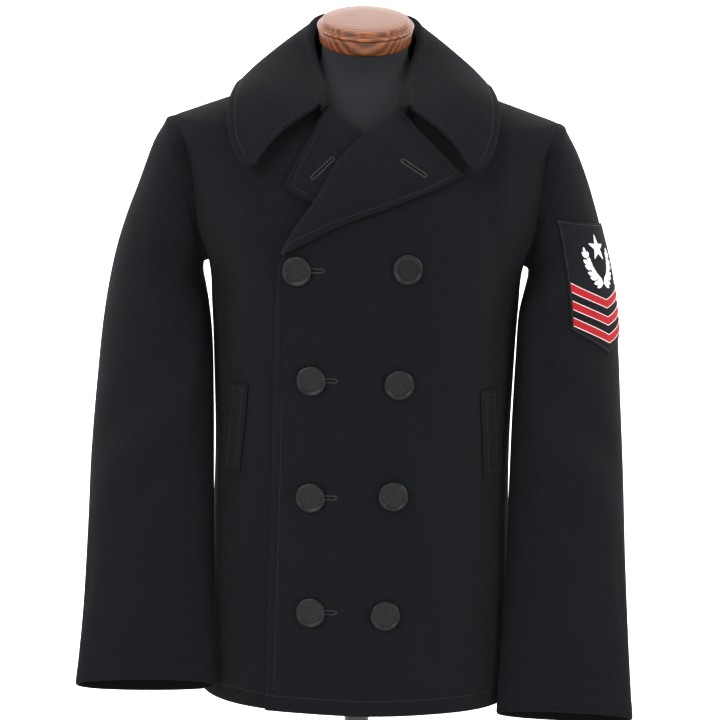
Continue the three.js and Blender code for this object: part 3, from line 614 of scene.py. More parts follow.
def collar_section(along, side):
    """Points every half millimetre or so: up the stand, over the roll, down the fall."""
    seam, roll, edge = (
        np.array([float(column(COLLAR, "along", along, f"{name}_{axis}")) for axis in "xyz"])
        for name in ("seam", "roll", "edge")
    )
    out = unit((edge - roll) * [1, 1, 0])
    middle = (seam + roll) / 2 - out
    stand = [seam + (middle - seam) * t for t in np.linspace(0, 1, 30)]
    turn = np.linspace(0, math.pi, 40)[:, None]
    over = roll - out * ROLL_RADIUS * np.cos(turn) + UP * ROLL_RADIUS * (np.sin(turn) - 1)
    stand += [middle + (over[0] - middle) * t for t in np.linspace(0, 1, 30)[1:]]
    t = np.linspace(0, 1, 160)[1:, None]
    edge = edge - unit(edge - over[-1]) * round_corner((1 - along) * COLLAR_HALF, COLLAR_CORNER)
    fall = over[-1] + (edge - over[-1]) * t + unit(out * 0.6 + UP * 0.8) * FALL_BOW * np.sin(math.pi * t)
    points = np.concatenate([np.array(stand), over[1:], fall])
    return points * [side, 1, 1] + [NECK_LEAN, 0, 0]


def round_corner(away, radius):
    """How much shorter the fall is near the collar's end, so that its corner is a quarter circle."""
    near = np.clip(1 - away / radius, 0, 1)
    return radius * (1 - math.sqrt(1 - near * near))


COLLAR_FOLDS = [
    (-120, 790, -96, 815, 16, 2.0), (112, 800, 92, 822, 16, 2.0), (-30, 850, -34, 815, 20, 1.6),
    (36, 848, 44, 812, 20, 1.6),
]


def collar_piece():
    ends = np.array([
        0, 0.15, 0.5, 1.0, 1.6, 2.6, 4.4, 6.4, 7.6, 8.4, 9.0, 9.5, 10.0, 10.6, 11.4, 12.8, 15,
    ]) / COLLAR_HALF
    places = np.concatenate([1 - ends, np.linspace(1 - ends[-1], 0, 72)[1:]])
    sections = [collar_section(a, -1) for a in places] + [collar_section(a, 1) for a in places[::-1][1:]]
    rows = []
    for section in sections:
        run = np.concatenate([[0], np.cumsum(np.linalg.norm(np.diff(section, axis=0), axis=1))])
        spots = spread(run[-1], np.array([0, 0.2, 0.6, 1.2, 3]), edge_steps(16, 5, True), 44)
        rows.append(np.stack([np.interp(spots, run, section[:, axis]) for axis in range(3)], axis=1))
    middle = np.array(rows)
    ripple = fold_height(COLLAR_FOLDS, middle[..., 0], middle[..., 2])
    normal = grid_normals(middle)
    if (normal[len(rows) // 2, -8] @ np.array([0, 1.0, 0.4])) < 0:
        normal = -normal
    middle = middle + normal * ripple[..., None]
    across, down = edge_distances(middle)
    edge = np.minimum(np.minimum(across[0], across[1]), np.minimum(down[0], down[1]))
    stitch = np.minimum(across[1], np.minimum(down[0], down[1]) + 200 * smooth(60, 20, across[0]))
    return cloth_piece("collar_cloth", middle, normal, edge, thickness=3.6, grooves=((stitch, STITCH_INSET),))


collar = collar_piece()
print("collar faces:", len(collar.data.polygons))

# %% [markdown]
# ## Sleeves
# A tailored sleeve has two pieces, an upper and an under one, and it bends forwards at the elbow as an arm
# does. It hangs empty here, so it has flattened towards the cuff and breaks into creases inside the elbow.
# A ring is given at some places along it, and the creases are lines on the unrolled tube.

# %% Sleeve rings and creases
SLEEVES = {
    -1: table(
        "along out_x out_z in_x in_z in_y out_y depth tilt",
        (0.04, 224, 763, 183, 609, 0, 0, 60, 0), (0.1, 238, 740, 184, 604, 1, 1, 64, 0),
        (0.17, 254, 697, 184, 594, 2, 3, 66, 0), (0.25, 271, 651, 181, 580, 2, 5, 67, 2),
        (0.33, 283, 606, 176, 558, -12, 7, 66, 4), (0.42, 293, 545, 171.5, 520, -24, 7, 63, 6),
        (0.53, 300, 468, 169, 455, -33, 2, 57, 8), (0.64, 305, 390, 167.5, 384, -42, -10, 49, 10),
        (0.76, 307, 305, 166, 303, -52, -29, 40, 14), (0.88, 310, 218, 163, 219, -66, -52, 31, 20),
        (1, 316, 133, 159, 138, -85, -77, 23, 30),
    ),
    1: table(
        "along out_x out_z in_x in_z in_y out_y depth tilt",
        (0.04, 223, 762, 182.5, 609, 0, 0, 60, 0), (0.1, 235, 736, 184, 604, 1, 1, 64, 0),
        (0.17, 249, 694, 183.5, 594, 2, 3, 66, 0), (0.25, 263, 648, 179.5, 580, -8, 5, 67, 2),
        (0.33, 275, 600, 173.5, 558, -28, 7, 66, 4), (0.42, 284, 537, 171.5, 513, -28, 7, 63, 6),
        (0.53, 290, 454, 169, 442, -34, 2, 57, 8), (0.64, 295, 373, 167.5, 367, -42, -10, 49, 10),
        (0.76, 299, 284, 166, 282, -52, -29, 40, 14), (0.88, 304, 195, 163, 196, -66, -53, 31, 20),
        (1, 310, 106, 159, 112, -85, -78, 23, 27),
    ),
}
SHARED_CREASES = [
    (0.5, 112, 0.62, 28, 0.035, -4), (0.56, 118, 0.7, 40, 0.04, 4), (0.34, 142, 0.66, 112, 0.035, 4.5),
    (0.2, 160, 0.5, 150, 0.03, -3), (0.47, 250, 0.55, 330, 0.035, -4),
]
FINE_CREASES = {
    -1: [
        (0.42, 128, 0.52, 58, 0.022, -1.8), (0.66, 120, 0.74, 52, 0.026, -2.0),
        (0.13, 118, 0.3, 88, 0.03, -2.6),
        (0.16, 62, 0.3, 84, 0.03, 1.8), (0.08, 20, 0.2, 8, 0.03, 1.6), (0.84, 96, 0.96, 60, 0.03, 1.8),
        (0.76, 30, 0.9, 18, 0.03, -1.6), (0.58, 232, 0.68, 300, 0.03, 2.2),
        (0.2, 260, 0.36, 300, 0.035, -2.2),
        (0.24, 205, 0.42, 240, 0.03, 2.0),
    ],
    1: [
        (0.44, 124, 0.53, 66, 0.022, -1.6), (0.64, 126, 0.76, 62, 0.026, -2.2),
        (0.12, 122, 0.26, 96, 0.028, -3.0),
        (0.18, 120, 0.44, 104, 0.022, 2.0), (0.08, 24, 0.2, 10, 0.03, 1.6), (0.8, 100, 0.97, 74, 0.03, 2.0),
        (0.74, 34, 0.9, 20, 0.03, -1.6), (0.58, 236, 0.68, 304, 0.03, 2.2),
        (0.2, 262, 0.36, 300, 0.035, -2.2),
        (0.24, 208, 0.42, 240, 0.03, 2.0),
    ],
}


def sleeve_crease(creases, along, degrees):
    height = np.zeros(np.broadcast(along, degrees).shape)
    for a1, r1, a2, r2, wide, tall in creases:
        da, dr = a2 - a1, (r2 - r1) / 360
        a = along - a1
        r = ((degrees - r1 + 180) % 360 - 180) / 360
        share = np.clip((a * da + r * dr) / (da * da + dr * dr), 0, 1)
        away = np.hypot(a - share * da, r - share * dr) / wide
        height += tall * np.exp(-away * away) * (0.35 + 0.65 * np.sin(math.pi * share))
    return height


def sleeve_ring(side, along, degrees):
    along, degrees = np.broadcast_arrays(np.asarray(along, float), np.asarray(degrees, float))
    value = {name: column(SLEEVES[side], "along", along, name) for name in SLEEVES[side] if name != "along"}
    zero = np.zeros(along.shape)
    outer = np.stack([value["out_x"], value["out_y"], value["out_z"]], axis=-1)
    inner = np.stack([value["in_x"], value["in_y"], value["in_z"]], axis=-1)
    across = (outer - inner) / 2
    tilt = np.radians(value["tilt"])
    forward = np.stack([zero, -np.cos(tilt), np.sin(tilt)], axis=-1)
    c, s = np.cos(np.radians(degrees))[..., None], np.sin(np.radians(degrees))[..., None]
    point = (outer + inner) / 2 + across * c * (1 + SQUARENESS * s * s)
    point = point + forward * value["depth"][..., None] * s * (1 + SQUARENESS * c * c)
    crease = sleeve_crease(SHARED_CREASES + FINE_CREASES[side], along, degrees) * smooth(0.03, 0.1, along)
    point = point + unit(unit(across) * c + forward * s) * crease[..., None]
    x = lean(point[..., 2]) * smooth(0.4, 0, along) + side * point[..., 0]
    return np.stack([x, point[..., 1], point[..., 2]], axis=-1)


def armhole_point(side, degrees):
    degrees = np.asarray(degrees, float) % 360
    z = (SHOULDER_Z + ARMPIT_Z) / 2 + (SHOULDER_Z - ARMPIT_Z) / 2 * np.cos(np.radians(degrees))
    in_front = degrees < 180
    x = np.where(in_front, column(ARMHOLE, "z", z, "front"), column(ARMHOLE, "z", z, "back"))
    at_end = (z > SHOULDER_Z - 0.5) | (z < ARMPIT_Z + 0.5)
    turn = np.where(at_end, 0, front_angle(np.minimum(x, half_width(z)), z))
    point = torso_point(np.where(in_front, turn, 2 * math.pi - turn), z)
    point[..., 0] = lean(z) + side * (point[..., 0] - lean(z))
    return point


FIRST_RING = 0.04
HEAD_PUFF = 3.0
SEAM_START = 1.0


def sleeve_point(side, along, degrees):
    """The tube beyond the first ring, and before it the sleeve head that rises out of the armhole."""
    along, degrees = np.broadcast_arrays(np.asarray(along, float), np.asarray(degrees, float))
    ring = sleeve_ring(side, np.maximum(along, FIRST_RING), degrees)
    hole = armhole_point(side, degrees)
    reach = ring - hole
    length = np.linalg.norm(reach, axis=-1, keepdims=True)
    start = hole + reach * np.minimum(1, SEAM_START / np.maximum(length, 4))
    share = np.clip(along / FIRST_RING, 0, 1)[..., None]
    outwards = unit(np.stack([side * np.ones(along.shape), 0 * along, 0.8 + 0 * along], axis=-1))
    head = start + (ring - start) * share
    head = head + outwards * HEAD_PUFF * np.sin(math.pi * share) * smooth(6, 16, length)
    return np.where(share < 1, head, ring)


def sleeve_piece(name, side, start, end, columns):
    alongs = np.concatenate([
        np.array([0, 0.0003, 0.001, 0.002, 0.004, 0.007]), np.linspace(0.011, FIRST_RING, 7),
        np.linspace(FIRST_RING, 0.975, 140)[1:],
        1 - np.array([150, 110, 80, 60, 44, 26, 16, 10, 5, 1.5, 0]) / 6500,
    ])
    turn_steps = np.array([0, 0.15, 0.5, 1.0, 1.8, 3, 4.5, 7])
    degrees = np.concatenate([start + 0.02 + turn_steps, np.linspace(start + 8, end - 8, columns)[1:-1],
                              end - 0.02 - turn_steps[::-1]])
    grid_along, grid_turn = np.meshgrid(alongs, degrees, indexing="ij")
    middle = sleeve_point(side, grid_along, grid_turn)
    around = sleeve_point(side, grid_along, grid_turn + 0.6) - sleeve_point(side, grid_along, grid_turn - 0.6)
    lengthwise = np.gradient(middle, axis=0)
    normal = side * unit(np.cross(around, lengthwise))
    across, down = edge_distances(middle)
    seams = np.minimum(across[0], across[1]) + SEAM_FLAT
    edge = np.minimum(seams, np.minimum(down[0] + SEAM_FLAT, down[1]))
    return cloth_piece(name, middle, normal, edge, grooves=((down[1], 26),))


sleeves = {}
for side, word in ((-1, "right"), (1, "left")):
    sleeves[f"upper_sleeve_{word}"] = sleeve_piece(f"upper_sleeve_{word}_cloth", side, -90, 150, 110)
    sleeves[f"under_sleeve_{word}"] = sleeve_piece(f"under_sleeve_{word}_cloth", side, 150, 270, 56)
print("sleeve faces:", [len(p.data.polygons) for p in sleeves.values()])

# %% [markdown]
# ## Pocket welts
# Two slanting hand pockets open under welts, narrow strips of doubled cloth that lie flat on the fronts. They
# are grids on the body surface too, one layer further out.

# %% Pocket welts
WELT_TOP, WELT_BOTTOM = 484, 384
WELT_TOP_X, WELT_BOTTOM_X = 126, 132
WELT_WIDTH = 22
WELT_THICKNESS = 1.4


def pocket_welt(side):
    part = "upper" if side > 0 else "under"
    ends = np.array([0, 0.15, 0.5, 1.0, 1.8, 3.2, 4.4, 5.2, 5.6, 6.0, 6.4, 6.8, 7.4, 8.4, 10])
    heights = spread(WELT_TOP - WELT_BOTTOM, ends, ends, 30) + WELT_BOTTOM
    offsets = spread(WELT_WIDTH, ends[:-1], ends[:-1], 4)
    grid_z, grid_off = np.meshgrid(heights, offsets, indexing="ij")
    inner = WELT_BOTTOM_X + (WELT_TOP_X - WELT_BOTTOM_X) * (grid_z - WELT_BOTTOM) / (WELT_TOP - WELT_BOTTOM)
    x = inner + grid_off
    lift = upper_lift(x, grid_z) if side > 0 else 0
    out = CLOTH / 2 + 0.6 + WELT_THICKNESS / 2 + lift
    angle = front_angle(side * x, grid_z)
    middle = cloth_point(angle, grid_z, out, part)
    normal = torso_normal(angle, grid_z)
    sides = np.minimum(grid_off, WELT_WIDTH - grid_off)
    edge = np.minimum(sides, np.minimum(grid_z - WELT_BOTTOM, WELT_TOP - grid_z))
    return cloth_piece(f"pocket_welt_{'left' if side > 0 else 'right'}_cloth", middle, normal, edge,
                       thickness=WELT_THICKNESS, grooves=((edge, 6.0),), relief=0.6)


welts = {side: pocket_welt(side) for side in (1, -1)}
print("welt faces:", [len(p.data.polygons) for p in welts.values()])

# %% [markdown]
# ## Thread
# Topstitching is a row of short threads that sink into the groove. Each stitch is one tiny six-sided bead,
# made once and placed along a path at a steady step. All the stitches of one seam make one mesh.

# %% Stitches along a path
STITCH_LENGTH = 2.7
STITCH_STEP = 3.4
THREAD_RADIUS = 0.28


def resample(path, step):
    path = np.asarray(path, float)
    run = np.concatenate([[0], np.cumsum(np.linalg.norm(np.diff(path, axis=0), axis=1))])
    count = max(int(run[-1] / step), 1)
    at = np.linspace(0, run[-1], count + 1)
    return np.stack([np.interp(at, run, path[:, axis]) for axis in range(3)], axis=1)


def stitch_mesh(name, placed, length=STITCH_LENGTH, radius=THREAD_RADIUS):
    """Beads at places, each lying along its own direction and flat against its own normal."""
    rings = [(-0.5, 0.35), (-0.3, 1.0), (0.3, 1.0), (0.5, 0.35)]
    verts, faces = [], []
    for place, along, normal in placed:
        across = unit(np.cross(normal, along))
        first = len(verts)
        for far, size in rings:
            for corner in range(6):
                turn = math.pi * corner / 3
                ring = across * math.cos(turn) * 1.3 + normal * math.sin(turn)
                verts.append(place + along * far * length + ring * radius * size)
        for ring in range(len(rings) - 1):
            for corner in range(6):
                a, b = first + 6 * ring + corner, first + 6 * ring + (corner + 1) % 6
                faces.append((a, b, b + 6, a + 6))
        faces.append(tuple(first + corner for corner in range(5, -1, -1)))
        faces.append(tuple(first + 18 + corner for corner in range(6)))
    return face_outwards(new_piece(name, verts, faces))


def stitches_on(points, normals):
    """Stitches along a path that lies on cloth, with the cloth's normal at each of its points."""
    path = resample(points, STITCH_STEP)
    nearest = np.argmin(np.linalg.norm(path[:, None] - np.asarray(points)[None], axis=2), axis=1)
    along = unit(np.gradient(path, axis=0))
    return [(p, a, np.asarray(normals)[n]) for p, a, n in zip(path, along, nearest)]


def line_on(name, groove, inset, rows=None, flip=False, which=-1):
    """The line on a piece's outer face where the distance of one of its grooves is inset, row by row."""
    points, normals = surfaces[name]["points"], surfaces[name]["normals"]
    distance = surfaces[name]["grooves"][groove]
    if flip:
        points, normals, distance = points.transpose(1, 0, 2), normals.transpose(1, 0, 2), distance.T
    line, line_normals = [], []
    for row in range(len(points))[slice(*(rows or (None, None)))]:
        crossing = np.where(np.diff(np.sign(distance[row] - inset)) != 0)[0]
        if len(crossing) == 0:
            continue
        c = crossing[which]
        share = (inset - distance[row, c]) / (distance[row, c + 1] - distance[row, c])
        line.append(points[row, c] + (points[row, c + 1] - points[row, c]) * share)
        line_normals.append(normals[row, c])
    return np.array(line), np.array(line_normals)


def sew(name, lines):
    placed = []
    for points, normals in lines:
        placed += stitches_on(points + normals * THREAD_RADIUS * 0.5, normals)
    print(name, len(placed), "stitches")
    return stitch_mesh(name, placed)

# %% [markdown]
# ## Buttons
# A sea-coat button is one moulding, 33 mm across: a raised rim, a dished face and a plain anchor in low
# relief inside a ring of beads. We model one button lying flat, as on a bench: a circle is filled, extruded
# and inset ring by ring, and the relief is joined to it. Copies are then turned to lie on the cloth.

# %% One button
BUTTON_RADIUS = 16.5
BUTTON_HEIGHT = 4.0


def deselect_all():
    bpy.ops.object.select_all(action="DESELECT")


def start_edit(piece):
    deselect_all()
    bpy.context.view_layer.objects.active = piece
    piece.select_set(True)
    bpy.ops.object.mode_set(mode="EDIT")


def ring_up(rise, scale):
    """Extrudes the selected face up by rise and scales it, both in millimetres and shares."""
    bpy.ops.mesh.extrude_region_move(TRANSFORM_OT_translate={"value": (0, 0, rise * MM)})
    bpy.ops.transform.resize(value=(scale, scale, 1), center_override=(0, 0, 0))


def turned_solid(name, start_radius, start_z, rings, segments=96):
    """A solid of rings: each pair is the next ring's radius and height, and the last one is capped."""
    bpy.ops.mesh.primitive_circle_add(vertices=segments, radius=start_radius * MM, fill_type="NGON",
                                      location=(0, 0, start_z * MM))
    piece = bpy.context.object
    piece.name = name
    start_edit(piece)
    bpy.ops.mesh.select_all(action="SELECT")
    radius, height = start_radius, start_z
    for next_radius, next_height in rings:
        ring_up(next_height - height, next_radius / radius)
        radius, height = next_radius, next_height
    bpy.ops.mesh.select_all(action="SELECT")
    bpy.ops.mesh.normals_make_consistent(inside=False)
    bpy.ops.object.mode_set(mode="OBJECT")
    bpy.ops.object.transform_apply(location=True, rotation=True, scale=True)
    return piece


def ball(radius, x, y, z, flat):
    place = (x * MM, y * MM, z * MM)
    bpy.ops.mesh.primitive_ico_sphere_add(subdivisions=2, radius=radius * MM, location=place)
    bpy.context.object.scale = (1, 1, flat)
    return bpy.context.object


def bar(points, radius, z, flat=0.6):
    """A rounded bar of relief through points on the button's face."""
    curve = bpy.data.curves.new("bar", "CURVE")
    curve.dimensions = "3D"
    curve.bevel_depth = radius * MM
    curve.bevel_resolution = 3
    curve.fill_mode = "FULL"
    curve.use_fill_caps = True
    spline = curve.splines.new("POLY")
    spline.points.add(len(points) - 1)
    for knot, (x, y, size) in zip(spline.points, points):
        knot.co = (x * MM, y * MM, 0, 1)
        knot.radius = size
    piece = bpy.data.objects.new("bar", curve)
    bpy.context.scene.collection.objects.link(piece)
    piece.location = (0, 0, z * MM)
    piece.scale = (1, 1, flat)
    deselect_all()
    bpy.context.view_layer.objects.active = piece
    piece.select_set(True)
    bpy.ops.object.convert(target="MESH")
    return bpy.context.object


def join_all(pieces, name):
    deselect_all()
    for piece in pieces:
        piece.select_set(True)
    bpy.context.view_layer.objects.active = pieces[0]
    bpy.ops.object.transform_apply(location=True, rotation=True, scale=True)
    bpy.ops.object.join()
    joined = bpy.context.object
    joined.name = name
    bpy.ops.object.shade_smooth_by_angle(angle=math.radians(38))
    return joined


BEADS = 30


def make_button():
    r, h = BUTTON_RADIUS, BUTTON_HEIGHT
    rings = [(r * 0.86, 0.1), (r * 0.97, 0.9), (r, 1.7), (r, 2.3), (r * 0.985, 3.0), (r * 0.955, 3.6),
             (r * 0.92, h), (r * 0.88, h), (r * 0.845, 3.75), (r * 0.82, 3.2), (r * 0.79, 2.75),
             (r * 0.7, 2.6), (r * 0.4, 2.75), (r * 0.1, 2.85)]
    body = turned_solid("button", r * 0.8, 0, rings, 72)
    relief = []
    for turn in np.linspace(0, 2 * math.pi, BEADS, endpoint=False):
        relief.append(ball(0.55, r * 0.7 * math.cos(turn), r * 0.7 * math.sin(turn), 2.7, 0.8))
    face = 2.75
    relief.append(bar([(0, 5.4, 0.9), (0, 0, 1), (0, -5.6, 1.1)], 0.85, face))
    relief.append(bar([(-3.4, 3.9, 0.7), (0, 3.9, 1), (3.4, 3.9, 0.7)], 0.6, face))
    eye = [(1.5 * math.cos(t), 6.6 + 1.5 * math.sin(t), 1) for t in np.linspace(0, 2 * math.pi, 17)]
    relief.append(bar(eye, 0.5, face))
    arm_turns = np.linspace(-1.25, 1.25, 17)
    arm = [(6.2 * math.sin(t), -0.6 - 5.4 * math.cos(t), 1.15 - 0.5 * abs(t)) for t in arm_turns]
    relief.append(bar(arm, 0.95, face))
    for side in (-1, 1):
        fluke = [(side * 6.6, -1.2, 0.4), (side * 5.6, -2.4, 1.3), (side * 4.2, -1.6, 0.3)]
        relief.append(bar(fluke, 0.75, face))
    return join_all([body, *relief], "button_pattern")


button_pattern = make_button()
print("one button:", len(button_pattern.data.polygons), "faces")

# %% [markdown]
# Two columns of four draw together towards the hem. The outer ones close the coat and the inner ones are for
# show. Every button lies on the highest cloth under it, and each is turned a little, as sewing leaves it.

# %% Buttons in place
BUTTONS = [
    ("outer_1", -72.5, 619.5), ("inner_1", 44, 624), ("outer_2", -56, 498), ("inner_2", 38, 496),
    ("outer_3", -54.5, 366), ("inner_3", 34.5, 370.5), ("outer_4", -52, 236.5), ("inner_4", 28.5, 235.5),
]
BUTTON_TURNS = {"outer_1": 9, "inner_1": -14, "outer_2": -6, "inner_2": 12, "outer_3": 17, "inner_3": -9,
                "outer_4": 4, "inner_4": -19}


def button_seat(x, z):
    lift = float(upper_lift(x, np.array(float(z)))) + CLOTH / 2
    at = lambda dx, dz: cloth_at(np.array(x + dx), np.array(float(z + dz)), lift, "upper")
    foot, r = at(0, 0), BUTTON_RADIUS
    out = unit(np.cross(at(r, 0) - at(-r, 0), at(0, r) - at(0, -r)))
    turns = np.linspace(0, 2 * math.pi, 24)
    highest = max(0, *((at(14 * math.cos(t), 14 * math.sin(t)) - foot) @ out for t in turns))
    return foot + out * (highest + 0.3), out


def place_button(name, x, z):
    foot, out = button_seat(x, z)
    across = unit(np.cross([0, 0, 1.0], out))
    up = np.cross(out, across)
    turn = math.radians(BUTTON_TURNS[name])
    basis = Matrix((across, up, out)).transposed().to_4x4() @ Matrix.Rotation(turn, 4, "Z")
    button = button_pattern.copy()
    button.data = button_pattern.data.copy()
    button.name = button.data.name = f"button_{name}_moulded"
    button.data.transform(Matrix.Translation(Vector(foot * MM)) @ basis)
    bpy.context.scene.collection.objects.link(button)
    return button


buttons = {}
for name, x, z in BUTTONS:
    buttons[name] = place_button(name, x, z)
bpy.data.objects.remove(button_pattern)
print("buttons:", sorted(buttons))

# %% [markdown]
# ## Badge
# The badge is a pointed patch of felt, sewn to the left sleeve and bent round it. Its place is worked out in
# its own flat measures, across and down in millimetres, and a function lays them on the sleeve. The patch,
# the red bars and the white needlework all use it, so they follow the arm together.

# %% The badge's patch
BADGE_TOP, BADGE_BOTTOM, BADGE_FALL, BADGE_POINT = 666, 544.5, 7, 25
BADGE_MIDDLE, BADGE_SPREAD = 44, 45
BADGE_THICKNESS = 1.4
BADGE_LIFT = CLOTH / 2 + 0.5 + BADGE_THICKNESS / 2


def on_left_sleeve(degrees, z, out):
    degrees, z, out = np.broadcast_arrays(*(np.asarray(v, float) for v in (degrees, z, out)))
    low, high = np.full(z.shape, 0.05), np.full(z.shape, 0.6)
    for _ in range(22):
        middle = (low + high) / 2
        above = sleeve_ring(1, middle, degrees)[..., 2] > z
        low, high = np.where(above, middle, low), np.where(above, high, middle)
    along = sleeve_ring(1, low + 0.012, degrees) - sleeve_ring(1, low - 0.012, degrees)
    around = sleeve_ring(1, low, degrees + 2) - sleeve_ring(1, low, degrees - 2)
    normal = unit(np.cross(around, along))
    return sleeve_ring(1, low, degrees) + normal * out[..., None], normal


arc, _ = on_left_sleeve(BADGE_MIDDLE + np.linspace(-BADGE_SPREAD, BADGE_SPREAD, 40), 600.0, BADGE_LIFT)
BADGE_HALF = float(np.linalg.norm(np.diff(arc, axis=0), axis=1).sum()) / 2


def on_badge(across, down, out):
    """A place on the badge: millimetres to the right of its middle and below its top, and above its face."""
    share = np.asarray(across, float) / BADGE_HALF
    z = BADGE_TOP - BADGE_FALL * share - down
    return on_left_sleeve(BADGE_MIDDLE - BADGE_SPREAD * share, z, BADGE_LIFT + np.asarray(out, float))


def badge_depth(across):
    return BADGE_TOP - BADGE_BOTTOM + BADGE_POINT * (1 - np.abs(across) / BADGE_HALF)


def badge_patch():
    rim = np.array([0, 0.12, 0.35, 0.7, 1.2, 1.7, 2.1, 2.5, 2.9, 3.4, 4.4, 6])
    half = np.concatenate([rim, np.linspace(6, BADGE_HALF, 16)[1:]]) - BADGE_HALF
    across = np.concatenate([half, -half[::-1][1:]])
    deep = badge_depth(across)
    shares = np.linspace(0, 1, 42)[1:-1]
    rows = [spread(d, rim, rim, len(shares)) for d in deep]
    down = np.array(rows).T
    grid_across = np.broadcast_to(across, down.shape)
    middle, normal = on_badge(grid_across, down, 0.0)
    sides = np.minimum(grid_across + BADGE_HALF, BADGE_HALF - grid_across)
    below = (badge_depth(grid_across) - down) * BADGE_HALF / math.hypot(BADGE_HALF, BADGE_POINT)
    edge = np.minimum(sides, np.minimum(down, below))
    return cloth_piece("sleeve_badge_cloth", middle, normal, edge, thickness=BADGE_THICKNESS,
                       grooves=((edge, 2.5),), relief=0.5)


badge = badge_patch()
print("badge:", round(2 * BADGE_HALF), "mm across,", len(badge.data.polygons), "faces")

# %% [markdown]
# Three red bars point down to the badge's tip. Each is a strip of felt with a fine light cord along its
# edges. Every strip is a grid across and down, so the bend in the middle of a bar is one column of it.

# %% Red bars
BARS = [(69, 16.5), (87.5, 17.5), (106, 19)]
BAR_WIDTH = 9.6
BAR_HALF = 0.945


def bar_top(across, start, drop):
    share = 1 - np.abs(across) / BADGE_HALF
    return start + drop * share


def red_bar(index, start, drop):
    rim = np.array([0, 0.1, 0.3, 0.6, 1.0])
    half = np.concatenate([rim, np.linspace(1.0, BADGE_HALF * BAR_HALF, 14)[1:]]) - BADGE_HALF * BAR_HALF
    across = np.concatenate([half, -half[::-1][1:]])
    offsets = spread(BAR_WIDTH, rim, rim, 8)
    grid_off, grid_across = np.meshgrid(offsets, across, indexing="ij")
    down = bar_top(grid_across, start, drop) + grid_off
    middle, normal = on_badge(grid_across, down, BADGE_THICKNESS / 2 + 0.42)
    sides = BADGE_HALF * BAR_HALF - np.abs(grid_across)
    edge = np.minimum(sides, np.minimum(grid_off, BAR_WIDTH - grid_off))
    return cloth_piece(f"badge_bar_{index}", middle, normal, edge, thickness=0.8)


red_bars = [red_bar(i + 1, start, drop) for i, (start, drop) in enumerate(BARS)]


def cord_on_badge(name, paths, radius, out, sides=6):
    """A thin cord along paths in badge measures, each closed at its ends."""
    verts, faces = [], []
    for path in paths:
        path = np.asarray(path, float)
        points, normals = on_badge(path[:, 0], path[:, 1], out)
        along = unit(np.gradient(points, axis=0))
        across = unit(np.cross(normals, along))
        first = len(verts)
        for point, normal, side in zip(points, normals, across):
            for corner in range(sides):
                turn = 2 * math.pi * corner / sides
                verts.append(point + (side * math.cos(turn) + normal * math.sin(turn)) * radius)
        for ring in range(len(points) - 1):
            for corner in range(sides):
                a, b = first + sides * ring + corner, first + sides * ring + (corner + 1) % sides
                faces.append((a, b, b + sides, a + sides))
        faces.append(tuple(first + corner for corner in range(sides - 1, -1, -1)))
        faces.append(tuple(first + sides * (len(points) - 1) + corner for corner in range(sides)))
    return face_outwards(new_piece(name, verts, faces))


bar_edges = []
for start, drop in BARS:
    reach = BADGE_HALF * BAR_HALF - 0.3
    across = np.concatenate([np.linspace(-reach, 0, 22), np.linspace(0, reach, 22)[1:]])
    for offset in (0.1, BAR_WIDTH - 0.1):
        bar_edges.append(np.stack([across, bar_top(across, start, drop) + offset], axis=1))
bar_cords = cord_on_badge("badge_bar_cords", bar_edges, 0.42, BADGE_THICKNESS / 2 + 0.75)
print("bars:", len(red_bars), "cords:", len(bar_edges))

# %% [markdown]
# Above the bars is white satin stitch: a plain five-pointed star between two leafy sprigs. It is a general
# ornament. Satin stitch stands up in the middle and falls to its edges, so every leaf and every ray of the
# star is a small dome with a pointed outline.

# %% Star and leaves
STAR_DOWN, STAR_RADIUS = 28.0, 15.5
LEAF_HEIGHT = 1.1


